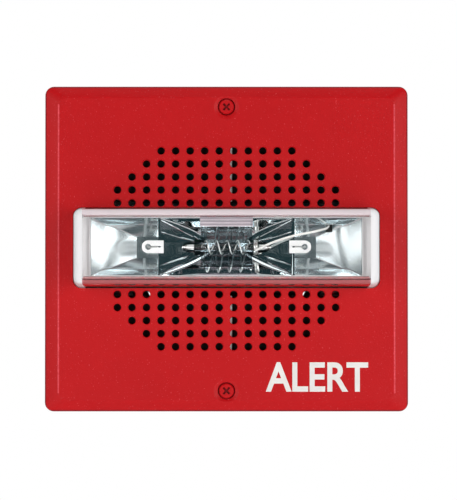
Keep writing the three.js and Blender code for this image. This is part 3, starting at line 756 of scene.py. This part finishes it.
# %% Window, bosses and dishes
lens_low, lens_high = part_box("strobe_lens")
centre_z = (lens_low.z + lens_high.z) / 2 / MM
GAP = 0.3
LENS_HALF_WIDE = 56.0
LENS_HALF_HIGH = 14.5
SCREW_Z = 52.1
EARS = [(x, z) for z in (20.2, -20.2) for x in (-52, 52)]


def boss(bore, radius, end_y, steps, x, z):
    """A round boss on the inside of the face, sunk a little into it."""
    root_y = inside_y - 0.8
    profile = [(bore, root_y), (radius, root_y), (radius, end_y), (bore, end_y)]
    return turned(profile, steps, (x, z))


def bosses():
    tubes = [boss(1.85, 5.6, -8, 40, 0, z) for z in (SCREW_Z, -SCREW_Z)]
    return tubes + [boss(1.55, 3, -15, 24, x, z) for x, z in EARS]


def screw_dish(z):
    """A shallow dish with a rounded lip, and the clearance hole through it."""
    lip = rounded_corner((9, front_y), (4.5, front_y), (3.2, front_y + 0.6), 0.35)
    profile = [(0, front_y - 1), (lip[0][0], front_y - 1), *lip, (3.2, front_y + 0.6),
               (3.2, front_y + 2), (1.85, front_y + 2),
               (1.85, inside_y + 3), (0, inside_y + 3)]
    return turned(profile, 56, (0, z))


window = loft([(y, rounded(LENS_HALF_WIDE + GAP, LENS_HALF_HIGH + GAP, 3.2, 0, centre_z))
               for y in (front_y - 1, inside_y + 1)])
cover = combined(cover_shell(), "UNION", *bosses())
cover = cut(cover, window, screw_dish(SCREW_Z), screw_dish(-SCREW_Z))
print("cover before drilling:", len(cover.polygons), "faces")

# %% [markdown]
# ## The grille
# Sixteen columns of holes stand above and below the lens, in rows that get shorter towards
# the outer edge. Each moulded hole flares a little at the face. A Geometry Nodes recipe
# lays one line of points for each row, puts a flared cutter on each point and cuts them
# all out of the cover at once, so a change to the pitch or the radius moves every hole.

# %% Grille recipe
GRILLE_ROWS = [16, 16, 14, 12, 10]
HIDDEN_ROWS = 3


def grille_recipe():
    recipe = Recipe("drilled_grille", pitch_x=5.335 * MM, pitch_z=4.79 * MM, radius=1.38 * MM,
                    flare=0.3 * MM, face=front_y * MM, finish=cover_paint)
    pitch_x, pitch_z = recipe.given("pitch_x"), recipe.given("pitch_z")
    radius, flare = recipe.given("radius"), recipe.given("flare")
    lines = []
    for row, count in enumerate(GRILLE_ROWS):
        for side in (1, -1):
            start = recipe.vector(pitch_x * (-(count - 1) / 2), recipe.given("face"),
                                  pitch_z * (side * (HIDDEN_ROWS + row + 0.5)))
            lines.append(recipe.part("MeshLine", {"mode": "OFFSET"}, Count=count, Start_Location=start,
                                     Offset=recipe.vector(pitch_x, 0, 0)))
    points = recipe.part("JoinGeometry", Geometry=lines)
    shaft = recipe.part("MeshCylinder", Vertices=24, Radius=radius, Depth=(WALL + 1) * MM)
    rim = recipe.part("MeshCone", Vertices=24, Radius_Top=radius + flare * 2,
                      Radius_Bottom=radius - flare, Depth=0.9 * MM)
    tools = [recipe.moved(shaft, -(WALL - 0.6) / 2 * MM), recipe.moved(rim, -0.6 * MM)]
    cutter = recipe.part("MeshBoolean", {"operation": "UNION", "solver": "MANIFOLD"}, Mesh_2=tools)
    cutters = recipe.part("InstanceOnPoints", Points=points, Instance=cutter,
                          Rotation=(math.pi / 2, 0, 0))
    cutters = recipe.part("RealizeInstances", Geometry=cutters)
    recipe.close(recipe.part("MeshBoolean", {"operation": "DIFFERENCE", "solver": "MANIFOLD"},
                             Mesh_1=recipe.shape(), Mesh_2=cutters))
    return recipe


drilled_cover = grille_recipe().cook(cover)
place_piece("cover_moulding", drilled_cover, cover_paint, ["front_cover"])

# %% [markdown]
# ## The marking
# A wall device of this kind carries one white word printed on its face. The word here is
# generic. It is a text curve, made a mesh, stretched to its printed size and laid on the face.

# %% Printed word
WORD_LEFT, WORD_RIGHT = 14.4, 51.9
WORD_BOTTOM, WORD_TOP = -52.4, -41.6


def printed_word(text):
    curve = bpy.data.curves.new("word", "FONT")
    curve.body = text
    curve.extrude = 0.02
    curve.offset = 0.022
    curve.resolution_u = 6
    carrier = bpy.data.objects.new("carrier", curve)
    scene.collection.objects.link(carrier)
    mesh = plain_mesh(carrier)
    xs = [v.co.x for v in mesh.vertices]
    ys = [v.co.y for v in mesh.vertices]
    scale_x = (WORD_RIGHT - WORD_LEFT) / (max(xs) - min(xs))
    scale_z = (WORD_TOP - WORD_BOTTOM) / (max(ys) - min(ys))
    for v in mesh.vertices:
        x = WORD_LEFT + (v.co.x - min(xs)) * scale_x
        z = WORD_BOTTOM + (v.co.y - min(ys)) * scale_z
        v.co = Vector((x, front_y - v.co.z - 0.01, z)) * MM
    return mesh


word = printed_word("ALERT")
place_piece("printed_word", word, marking_ink, [], smooth_below=10)

# %% [markdown]
# ## Screws
# All the screws here share one recipe: a domed head on a shank, with a cross or a single
# slot cut in the head. The points of a small mesh say where the screws go, and the inputs
# give the head, the length and the angle of the slots.

# %% Screw recipe
FORWARD = math.pi / 2
REARWARD = -math.pi / 2


def screw_recipe():
    recipe = Recipe("screw", head_radius=2.9 * MM, head_height=1.6 * MM, shank_radius=1.5 * MM,
                    length=10.0 * MM, slots=2, slot_turn=math.pi / 4, slot_width=0.6 * MM,
                    slot_reach=0.62, facing=FORWARD, finish=bright_steel)
    radius, height = recipe.given("head_radius"), recipe.given("head_height")
    length = recipe.given("length")
    disc = recipe.part("MeshCylinder", {"fill_type": "NGON"}, Vertices=40, Side_Segments=6,
                       Radius=radius, Depth=height)
    where = recipe.part("InputPosition")
    up = recipe.node("ShaderNodeSeparateXYZ", inputs={0: where}, output=2)
    narrowing = 1 - (up / height + 0.5) ** 5 * 0.22
    scale = recipe.vector(narrowing, narrowing, 1.0)
    domed = recipe.node("ShaderNodeVectorMath", {"operation": "MULTIPLY"}, {0: where, 1: scale})
    head = recipe.moved(recipe.part("SetPosition", Geometry=disc, Position=domed), height * 0.5)
    slot = recipe.part("MeshCube", Size=recipe.vector(
        radius * recipe.given("slot_reach") * 2, recipe.given("slot_width"), height * 1.4))
    spokes = recipe.part("MeshLine", {"mode": "OFFSET"}, Count=recipe.given("slots"),
                         Start_Location=recipe.vector(0, 0, height), Offset=(0, 0, 0))
    turn = recipe.given("slot_turn") + recipe.part("InputIndex") * (math.pi / 2)
    crosses = recipe.part("InstanceOnPoints", Points=spokes, Instance=slot,
                          Rotation=recipe.vector(0, 0, turn))
    crosses = recipe.part("RealizeInstances", Geometry=crosses)
    head = recipe.part("MeshBoolean", {"operation": "DIFFERENCE", "solver": "EXACT"},
                       Mesh_1=head, Mesh_2=crosses, Self_Intersection=True)
    shank = recipe.part("MeshCylinder", Vertices=24, Radius=recipe.given("shank_radius"), Depth=length)
    whole = recipe.part("JoinGeometry", Geometry=[head, recipe.moved(shank, length * -0.5)])
    recipe.close(recipe.part("InstanceOnPoints", Points=recipe.shape(), Instance=whole,
                             Rotation=recipe.vector(recipe.given("facing"), 0, 0)))
    return recipe


screws = screw_recipe()


def points_at(places):
    """A mesh of single points at (x, y, z) in millimetres."""
    mesh = bpy.data.meshes.new("places")
    mesh.from_pydata([tuple(value * MM for value in place) for place in places], [], [])
    return mesh


def set_screws(name, nodes, seats, slot, finish, **sizes):
    mesh = screws.cook(points_at(seats), finish=finish, **sizes)
    return place_piece(name, mesh, finish, nodes)


# %% Screws in their places
cover_seat = front_y + 1.7
set_screws("cover_screws", ["cover_screw_top", "cover_screw_bottom"],
           [(0, cover_seat, SCREW_Z), (0, cover_seat, -SCREW_Z)], "screw_red", screw_paint,
           head_height=1.55 * MM, length=(-2.0 - cover_seat) * MM, slot_width=0.75 * MM, slot_reach=0.56)
set_screws("tray_screws", [f"tray_screw_{i}" for i in range(1, 5)], [(x, -12.4, z) for x, z in EARS],
           "steel_screw", bright_steel, head_radius=2.6 * MM, head_height=1.6 * MM, shank_radius=1.2 * MM,
           length=8 * MM, slots=1, slot_turn=0.3, slot_width=0.7 * MM, slot_reach=1.2, facing=REARWARD)
driver_screw_places = [(41.5 * math.cos(math.radians(d)), 41.5 * math.sin(math.radians(d)))
                       for d in (20, 160, 200, 340)]
set_screws("driver_screws", [f"driver_screw_{i}" for i in range(1, 5)],
           [(x, -4.0, z) for x, z in driver_screw_places], "steel_screw", bright_steel,
           head_radius=2.6 * MM, head_height=1.5 * MM, shank_radius=1.35 * MM, length=8 * MM)
set_screws("terminal_screws", [f"terminal_screw_{i}" for i in range(1, 5)],
           [((i - 1.5) * 7, 10.6, -43) for i in range(4)], "zinc_plate", zinc, head_radius=2.1 * MM,
           head_height=1.0 * MM, shank_radius=1.4 * MM, length=1.5 * MM, slots=1, slot_turn=0.0,
           slot_width=0.7 * MM, slot_reach=1.2, facing=REARWARD)

# %% [markdown]
# ## The strobe lens
# The lens is one clear moulding with a flange behind the cover's window. Its ends are
# painted white, a painted reflection of the side lamps. Its lower shoulder is a painted
# reflection of the red cover, and the upper one is painted pink and near white for light
# from above. Light bends in its walls, so they have a real thickness and every edge is an
# arc: a sharp edge would draw a hard black line.

# %% Lens
lens_front = lens_low.y / MM
LENS_WALL = 1.8
FLANGE_FRONT = inside_y + GAP
FLANGE_HALF_WIDE, FLANGE_HALF_HIGH = 58.5, 16.4


def lens_profile(wall, radius):
    """(inset, y) from the flange to the middle of the front, at one wall's depth inside."""
    top = lens_front + wall
    shoulder = (wall + 1.1, top)
    base = (wall, front_y)
    arc = rounded_corner(base, shoulder, (LENS_HALF_HIGH, top), radius, 8)
    return [base, *arc]


def lens_outline(inset):
    radius = max(1.0, 3 - inset * 0.5)
    return rounded(LENS_HALF_WIDE - inset, LENS_HALF_HIGH - inset, radius, 0, centre_z)


def lens_body():
    back = lens_high.y / MM
    outer = [(0, back)] + lens_profile(0, 2.4)
    inner = [(LENS_WALL, back + 1)] + lens_profile(LENS_WALL, 1.2)
    flange_shape = rounded(FLANGE_HALF_WIDE, FLANGE_HALF_HIGH, 3, 0, centre_z)
    flange = loft([(FLANGE_FRONT, flange_shape), (back, flange_shape)])
    body = join(flange, loft([(y, lens_outline(inset)) for inset, y in outer]))
    return cut(body, loft([(y, lens_outline(inset)) for inset, y in inner]))


place_piece("lens_moulding", lens_body(), lens_clear, ["strobe_lens"], smooth_below=40)

# %% [markdown]
# ## The mirror
# Behind the lens a plated moulding has three cells. The middle one is a trough whose
# section is a parabola with the tube on its focus, which throws the flash straight
# forward and shows the tube several times over. The side cells have flat facets. Each
# cell is made twice, once as the shell's outside and once as the hollow cut out of it.

# %% Mirror cells
MIRROR_FRONT = -39.0
MIRROR_SKIRT = -23.2
MIRROR_WALL = 1.2
CELL_X = 24.7  # where the side cells begin
TROUGH_VERTEX = -30.0
TROUGH_FOCUS = 3.0
TUBE_Y = TROUGH_VERTEX - TROUGH_FOCUS
SIDE_FACETS = [(-30.1, 32.7, 3.9), (-34.0, 42.3, 7.9), (-36.1, 44.8, 8.5), (MIRROR_FRONT, 48.9, 10.4)]


def closed_cell(sections, grow, overshoot):
    """A cell's solid: a floor `grow` thick behind it, and `overshoot` more in front."""
    front_outline = sections[-1][1]
    if grow:
        sections.insert(0, (sections[0][0] + grow, sections[0][1]))
    if overshoot:
        sections.append((MIRROR_FRONT - overshoot, front_outline))
    return loft(sections)


def side_cell(side, grow, overshoot):
    """A side cell; with `grow` it is the shell's outside, and without it the hollow."""
    sections = []
    for y, far, half in SIDE_FACETS:
        ends = sorted((side * (CELL_X - grow), side * (far + grow)))
        middle = (ends[0] + ends[1]) / 2
        sections.append((y, rounded((ends[1] - ends[0]) / 2, half + grow, 0.5, middle, centre_z, 3)))
    return closed_cell(sections, grow, overshoot)


def middle_cell(grow, overshoot, steps=14):
    """The trough, with sections close together where the parabola is most curved."""
    sections = []
    depth = TROUGH_VERTEX - MIRROR_FRONT
    for step in range(steps + 1):
        share = max(0.02, step / steps) ** 1.6
        y = TROUGH_VERTEX - share * depth
        half = math.sqrt(4 * TROUGH_FOCUS * share * depth) + grow
        far = 6 + share * 18 + grow
        sections.append((y, rounded(far, half, 0.4, 0, centre_z, 3)))
    return closed_cell(sections, grow, overshoot)


# %% Clearances, folds and ledge
def tube_clearances():
    """Cuts for the tube, its band and leads, the clips' legs and the trigger lead."""
    tools = []
    for side in (-1, 1):
        for radius, near, far in ((2.08, 8, 22.6), (3.0, 8, 11.6), (0.8, 22, 26)):
            near_end, far_end = sorted((side * near, side * far))
            tools.append(turned([(0, near_end), (radius, near_end), (radius, far_end), (0, far_end)],
                                32, (TUBE_Y, centre_z), "X"))
        legs = sorted((side * 29.4, side * 30.9))
        tools.append(box_between(*legs, -27.5, -24, centre_z - 1.6, centre_z + 1.6))
    tools.append(box_between(36.2, 38.6, -34.6, -30.8, centre_z + 5.5, centre_z + 9.4))
    return tools


def bar(start, end, radius, sides=10):
    """A thin round bar between two points."""
    span = end - start
    bm = bmesh.new()
    bmesh.ops.create_cone(bm, cap_ends=True, segments=sides, radius1=radius, radius2=radius,
                          depth=span.length)
    turn = span.to_track_quat("Z", "Y").to_matrix().to_4x4()
    middle = Matrix.Translation((start + end) / 2)
    bmesh.ops.transform(bm, matrix=middle @ turn, verts=bm.verts)
    return mesh_from(bm)


FOLDS = [(2.0, 9.6), (1.2, 5.4), (-1.4, -6.6), (-2.2, -9.8)]  # heights of their two ends


def folds():
    """Rounded folds that fan out over the sloped ends of the trough."""
    bars = []
    for side in (-1, 1):
        for start_z, end_z in FOLDS:
            start = Vector((side * 8.2, -31.0, centre_z + start_z))
            end = Vector((side * 23.6, -38.5, centre_z + end_z))
            bars.append(bar(start, end, 0.32))
    return bars


def ledge():
    """Three steps above the middle of the trough."""
    steps = []
    for step in range(3):
        low_z = centre_z + 7.6 + step * LEDGE_PITCH
        near_y = -36.2 - step * 0.9
        steps.append(box_between(-9.4, 8.6, near_y, near_y + 2.2, low_z, centre_z + 10.7))
    return steps


# %% Mirror moulding
MIRROR_HALF_WIDE, MIRROR_HALF_HIGH = 49.6, 10.9
RIM_HALF_WIDE, RIM_HALF_HIGH = 53.2, 11.8
POST_X = 30


def block(inset, front, back):
    """The mirror's outline as a solid, `inset` smaller all round."""
    radius = 1.6 - inset * 0.8
    shape = rounded(MIRROR_HALF_WIDE - inset, MIRROR_HALF_HIGH - inset, radius, 0, centre_z)
    return loft([(front, shape), (back, shape)])


def mirror():
    body = cut(block(0, MIRROR_FRONT, MIRROR_SKIRT), block(1.0, MIRROR_FRONT + MIRROR_WALL, 0))
    shells = [side_cell(-1, MIRROR_WALL, 0), middle_cell(MIRROR_WALL, 0), side_cell(1, MIRROR_WALL, 0)]
    body = join(body, *shells)
    body = combined(body, "INTERSECT", block(0, MIRROR_FRONT, MIRROR_SKIRT))
    posts = [rod(1.6, -26.5, -11.9, x, centre_z + 3.4) for x in (-POST_X, POST_X)]
    rim = rounded(RIM_HALF_WIDE, RIM_HALF_HIGH, 2.2, 0, centre_z)
    flange = cut(loft([(-37.4, rim), (-36.4, rim)]), block(0.6, -40, -30))
    body = join(body, flange, *posts)
    hollows = [side_cell(-1, 0, 1), middle_cell(0, 1), side_cell(1, 0, 1)]
    body = join(cut(body, *hollows), *folds(), *ledge())
    return cut(body, *tube_clearances())


place_piece("mirror_moulding", mirror(), mirror_finish, ["reflector"],
            smooth_below=22)

# %% [markdown]
# ## The flash tube and its wires
# A xenon tube is a thick glass capillary sealed round two tungsten electrodes. A bare wire
# wound round the glass starts the flash, and two white clips hold the leads. The tube is a
# turned profile with fire-polished ends; the winding is a curve recipe.

# %% Glass tube
TUBE_HALF = 20.5


def glass_tube():
    outer, bore = 1.95, 1.35
    profile = [(bore, -TUBE_HALF + 0.2), (bore + 0.3, -TUBE_HALF), (outer - 0.35, -TUBE_HALF),
               (outer - 0.1, -TUBE_HALF + 0.15), (outer, -TUBE_HALF + 0.5)]
    profile += [(radius, -along) for radius, along in reversed(profile)]
    return turned(profile, 48, (TUBE_Y, centre_z), "X")


place_piece("glass_tube", glass_tube(), tube_glass, ["flash_tube"], smooth_below=60)


# %% Electrodes
def turned_electrode(side):
    stem = [(0, 11.5), (0.7, 11.5), (1.0, 11.8), (1.0, 14.6), (0.75, 14.8), (0.75, 15.4), (1.0, 15.6),
            (1.0, 21.2), (0.4, 21.5), (0.4, 28.7), (0, 28.7)]
    mesh = turned([(radius, side * along) for radius, along in stem], 24, (TUBE_Y, centre_z), "X")
    end = rod(0.4, MIRROR_FRONT - 1.6, TUBE_Y, side * 28.3, centre_z, 20)
    return join(mesh, end)


for name, side in (("left", -1), ("right", 1)):
    electrode = turned_electrode(side)
    place_piece(f"turned_electrode_{name}", electrode, tinned, [f"electrode_{name}"])


# %% Wires as curves
def wire_recipe():
    """A round wire along a path of points, closed at both ends."""
    recipe = Recipe("round_wire", radius=0.2 * MM, sides=12, finish=tinned)
    path = recipe.part("MeshToCurve", Mesh=recipe.shape())
    ring = recipe.part("CurvePrimitiveCircle", Resolution=recipe.given("sides"),
                       Radius=recipe.given("radius"))
    recipe.close(recipe.part("CurveToMesh", Curve=path, Profile_Curve=ring, Fill_Caps=True))
    return recipe


round_wire = wire_recipe()


def wire(points, radius, finish):
    mesh = bpy.data.meshes.new("path")
    edges = [(i, i + 1) for i in range(len(points) - 1)]
    mesh.from_pydata([tuple(value * MM for value in point) for point in points], edges, [])
    return round_wire.cook(mesh, radius=radius * MM, finish=finish)


def helix(radius, pitch, turns, per_turn=28):
    """Points of a winding round the tube's axis."""
    points = []
    for step in range(int(turns * per_turn) + 1):
        share = step / (turns * per_turn)
        angle = 2 * math.pi * turns * share
        x = (share - 0.5) * turns * pitch
        points.append((x, TUBE_Y + radius * math.cos(angle), centre_z + radius * math.sin(angle)))
    return points


def through(points, steps=8):
    """A smooth Catmull-Rom path through the points."""
    ends = [points[0], *points, points[-1]]
    path = []
    for a, b, c, d in zip(ends, ends[1:], ends[2:], ends[3:]):
        for step in range(steps):
            t = step / steps
            point = (0.5 * (2 * q + (r - p) * t + (2 * p - 5 * q + 4 * r - s) * t * t
                            + (3 * q - p - 3 * r + s) * t ** 3) for p, q, r, s in zip(a, b, c, d))
            path.append(tuple(point))
    path.append(points[-1])
    return path


LEAD_ROUTE = [
    (10.6, -36.3, -0.9), (16, -38, 1.6), (24, -40.3, 4.2), (30, -39.7, 5.4),
    (34, -37.0, 6.4), (36.7, -33.8, 7.4), (37.4, -31.6, 8.9), (37.4, -28, 9.0),
    (36.9, -24.6, 8.2), (36.2, -22.0, 7.2),
]
winding = wire(helix(2.5, 3.85, 4.4), 0.22, bright_wire)
place_piece("trigger_winding", winding, bright_wire, ["trigger_wire"], smooth_below=60)
lead = wire(through(LEAD_ROUTE), 0.42, lead_rubber)
place_piece("lead_sleeve", lead, lead_rubber, ["trigger_lead"], smooth_below=60)
eased("trigger_band", 0.15, tinned, "coil_copper")
for name in ("left", "right"):
    eased(f"tube_clip_{name}", 0.12, clip_plastic, "white_plastic")

# %% [markdown]
# ## Dust cloth
# Fine black cloth behind the grille keeps insects and dust off the cone. Each piece is a
# flat sheet stretched under its strap, with a real weave relief and a slight sag between
# the edges where nothing holds it.

# %% Dust cloths
CLOTH_SAG = 0.12
CLOTH_RIPPLE = 0.03


def stretched_cloth(node):
    """A thin sheet in the place of a CAD node, with a slight sag and a ripple."""
    low, high = box_mm(node)
    middle = (low.y + high.y) / 2
    bm = bmesh.new()
    columns, levels = 60, 16
    grid = []
    for level in range(levels + 1):
        v = level / levels
        z = low.z + v * (high.z - low.z)
        line = []
        for column in range(columns + 1):
            u = column / columns
            sag = CLOTH_SAG * math.sin(math.pi * u) + CLOTH_RIPPLE * math.sin(u * 40)
            y = middle + sag * math.sin(math.pi * v)
            line.append(bm.verts.new((low.x + u * (high.x - low.x), y, z)))
        grid.append(line)
    for near, far in zip(grid, grid[1:]):
        for i in range(columns):
            bm.faces.new((near[i], near[i + 1], far[i + 1], far[i]))
    mesh = mesh_from(bm)
    carrier = bpy.data.objects.new("carrier", mesh)
    scene.collection.objects.link(carrier)
    thickness = carrier.modifiers.new("thickness", "SOLIDIFY")
    thickness.thickness = 0.3 * MM
    thickness.offset = 0
    return plain_mesh(carrier)


for side in ("upper", "lower"):
    node = f"dust_cloth_{side}"
    sheet = place_piece(f"woven_cloth_{side}", stretched_cloth(node), dust_cloth, [node])
    eased(f"cloth_strap_{side}", 0.2, zinc, "zinc_plate")

# %% [markdown]
# ## The driver
# The sounder is a small loudspeaker. Its pressed basket carries a ribbed paper cone on a
# half-round rubber roll, and a corrugated cloth spider centres the coil. The cone's ribs
# and the spider's waves are drawn as formulas along the profile and then turned.

# %% Cone, cap and coil
def paper_cone():
    front, back = [], []
    for step in range(49):
        share = step / 48
        radius = 11.2 + share * 21.2
        y = 8.4 - share * 11.6 - 1.2 * math.sin(math.pi * share)
        rib = 0.14 * math.sin(share * 2 * math.pi * 9) * min(1, 6 * share * (1 - share))
        front.append((radius, y + rib + 0.9 * share))
        back.append((radius + 0.15, y + rib + 0.55 + 0.9 * share))
    return turned([*front, *reversed(back)], 96)


def dust_cap():
    angles = [step * math.pi / 24 for step in range(13)]
    outer = [(10.6 * math.sin(angle), 8.0 - 4.7 * math.cos(angle)) for angle in angles]
    inner = [(radius * 0.97, y + 0.4) for radius, y in reversed(outer)]
    inner[-1] = (0, inner[-1][1])
    return turned([*outer, *inner], 64)


def wound_ring(inner, outer, y0, y1, pitch):
    """A ring whose outer face shows the turns of wire wound on it."""
    turns = round((y1 - y0) / pitch)
    profile = [(inner, y0)]
    for turn in range(turns):
        for part in (0.0, 0.5):
            bulge = outer if part else outer - pitch * 0.25
            profile.append((bulge, y0 + (turn + part) * pitch))
    profile += [(outer - pitch * 0.25, y1), (inner, y1)]
    return turned(profile, 64)


place_piece("ribbed_cone", paper_cone(), cone_paper, ["driver_cone"], "cone_assembly", 60)
place_piece("cone_cap", dust_cap(), cone_paper, ["dust_cap"], "cone_assembly", 60)
coil = wound_ring(9.5, 10.2, 9.0, 21.5, 0.36)
place_piece("wound_coil", coil, copper, ["voice_coil"], "cone_assembly", 60)


# %% Roll and spider
def half_round(centre, radius, depth, steps=20):
    """Half an ellipse that bulges towards the front, as a profile."""
    angles = [math.pi * step / steps for step in range(steps + 1)]
    return [(centre - radius * math.cos(angle), -4.5 - depth * math.sin(angle)) for angle in angles]


def rubber_roll():
    centre, thick = 36.0, 0.45
    outside = half_round(centre, 2.4, 2.0)
    inside = half_round(centre, 2.4 - thick, 2.0 - thick)
    lip = [(38.6, -4.5), (38.6, -4.05), (38.0, -4.05)]
    root = [(33.3, -4.05), (33.3, -4.5)]
    return turned([*outside, *lip, *reversed(inside), *root], 96)


def corrugated_spider():
    front, back = [], []
    for step in range(61):
        share = step / 60
        radius = 11.1 + share * 9.6
        y = 13.4 + 0.4 * math.cos(share * 2 * math.pi * 4)
        front.append((radius, y - 0.15))
        back.append((radius, y + 0.15))
    return turned([*front, *reversed(back)], 72)


place_piece("rubber_roll", rubber_roll(), surround_rubber, ["driver_surround"],
            smooth_below=60)
place_piece("woven_spider", corrugated_spider(), spider_cloth, ["spider"],
            smooth_below=60)

# %% Basket and motor
eased("driver_basket", 0.3, zinc, "zinc_plate")
eased("top_plate", 0.4, motor_steel, "motor_steel")
eased("magnet", 0.7, ferrite, "ferrite", segments=3)
eased("magnet_yoke", 0.6, motor_steel, "motor_steel", segments=3)

# %% [markdown]
# ## Plate, tray and board
# The sheet-metal plate, the white tray and the small moulded parts already have their
# right shapes in the CAD model. What they lack is the small radius that every pressed or
# moulded edge has, so each is rounded with a bevel and gets its finish.

# %% Rounded parts
ROUNDED = [
    ("mounting_plate", 0.25, zinc, "zinc_plate"),
    # The tray's finish has painted shade where the grille shows it.
    ("strobe_tray", 0.3, white_with_painted_shade, "white_plastic"),
    ("base_socket", 0.25, black_plastic, "tray_black"),
    ("strobe_board", 0.1, board_green, "board_green"),
    ("candela_switch", 0.2, black_plastic, "tray_black"),
    ("candela_slider", 0.2, white_plastic, "white_plastic", "candela_slider"),
    ("strobe_plug", 0.2, white_plastic, "white_plastic"),
    ("power_inductor", 0.25, ferrite, "ferrite"),
    ("tap_switch", 0.3, black_plastic, "tray_black"),
    ("tap_knob", 0.3, white_plastic, "white_plastic", "tap_knob"),
    ("terminal_block", 0.3, green_plastic, "terminal_green"),
    ("screw_bush_top", 0.3, bright_steel, "steel_screw"),
    ("screw_bush_bottom", 0.3, bright_steel, "steel_screw"),
]
for part in ROUNDED:
    eased(*part)


# %% Capacitor and trigger coil
def sleeved_can():
    """A capacitor can with a crimp groove, under its shrink sleeve."""
    low, high = box_mm("flash_capacitor")
    radius = (high.z - low.z) / 2
    y, z = (low.y + high.y) / 2, (low.z + high.z) / 2
    groove = [(radius - 0.7 * math.sin(math.pi * i / 6), high.x - 5 + i * 0.3) for i in range(7)]
    profile = [(0, low.x), (radius - 0.8, low.x), (radius - 0.2, low.x + 0.3), (radius, low.x + 0.9),
               *groove, (radius, high.x - 0.7), (radius - 0.2, high.x - 0.2), (radius - 0.8, high.x),
               (radius - 1.4, high.x - 0.3), (0, high.x - 0.3)]
    return turned(profile, 48, (y, z), "X")


def bobbin():
    """The trigger coil: a turned body between two flanges."""
    low, high = box_mm("trigger_coil")
    radius = (high.x - low.x) / 2
    x, z = (low.x + high.x) / 2, (low.z + high.z) / 2
    profile = [(0, low.y), (radius - 0.2, low.y), (radius, low.y + 0.2), (radius, low.y + 1),
               (radius - 0.5, low.y + 1.1), (radius - 0.5, high.y - 1.1), (radius, high.y - 1),
               (radius, high.y - 0.2), (radius - 0.2, high.y), (0, high.y)]
    return turned(profile, 40, (x, z))


place_piece("sleeved_can", sleeved_can(), sleeve, ["flash_capacitor"])
place_piece("coil_bobbin", bobbin(), white_plastic, ["trigger_coil"])

# %% [markdown]
# ## Repeated small parts
# The chip's legs and the transformer's laminations are rows of one small shape. A single
# recipe puts a box on every point of a line, and its inputs give the count and the pitch.


# %% Row recipe
def row_recipe():
    recipe = Recipe("row_of_boxes", count=8, step_x=1.0 * MM, step_z=0.0, size_x=0.4 * MM,
                    size_y=0.4 * MM, size_z=0.4 * MM, finish=tinned)
    step = recipe.vector(recipe.given("step_x"), 0, recipe.given("step_z"))
    line = recipe.part("MeshLine", {"mode": "OFFSET"}, Count=recipe.given("count"), Offset=step)
    box = recipe.part("MeshCube", Size=recipe.vector(*map(recipe.given, ("size_x", "size_y", "size_z"))))
    row = recipe.part("InstanceOnPoints", Points=line, Instance=box)
    recipe.close(recipe.part("InstanceOnPoints", Points=recipe.shape(), Instance=row))
    return recipe


rows = row_recipe()


# %% Chip legs, laminations and winding
def chip():
    low, high = box_mm("controller_chip")
    eased("controller_chip", 0.15, black_plastic, "tray_black")
    starts = points_at([(low.x + 0.95, high.y - 0.4, z) for z in (low.z - 0.35, high.z + 0.35)])
    legs = rows.cook(starts, count=8, step_x=1.16 * MM, size_y=0.7 * MM, size_z=0.9 * MM, finish=tinned)
    place_piece("chip_legs", legs, tinned, [])


PLATES = 20
PLATE_SHARE = 0.82  # how much of the pitch is steel; the rest is varnish and air


def laminated_core():
    """Thin varnished plates stacked along Z, each with its two windows."""
    low, high = box_mm("transformer_core")
    centre = (low.x + high.x) / 2
    pitch = (high.z - low.z) / PLATES
    limbs = [(low.x, centre - 5.6), (centre - 2.6, centre + 2.6), (centre + 5.6, high.x)]
    stacks = [(x0, x1, low.y, high.y) for x0, x1 in limbs]
    stacks += [(low.x, high.x, low.y, low.y + 3), (low.x, high.x, high.y - 3, high.y)]
    bm = bmesh.new()
    for x0, x1, y0, y1 in stacks:
        start = points_at([((x0 + x1) / 2, (y0 + y1) / 2, low.z + pitch / 2)])
        bm.from_mesh(rows.cook(start, count=PLATES, step_x=0.0, step_z=pitch * MM, size_x=(x1 - x0) * MM,
                               size_y=(y1 - y0) * MM, size_z=pitch * PLATE_SHARE * MM, finish=core_steel))
    whole = bpy.data.meshes.new("core")
    bm.to_mesh(whole)
    bm.free()
    place_piece("laminated_core", whole, core_steel, ["transformer_core"])


chip()
laminated_core()
eased("transformer_winding", 0.6, copper, "coil_copper", segments=3)

# %% Floor finish
floor.data.materials.append(moulded("floor_pale", (0.90, 0.90, 0.90), 0.6))
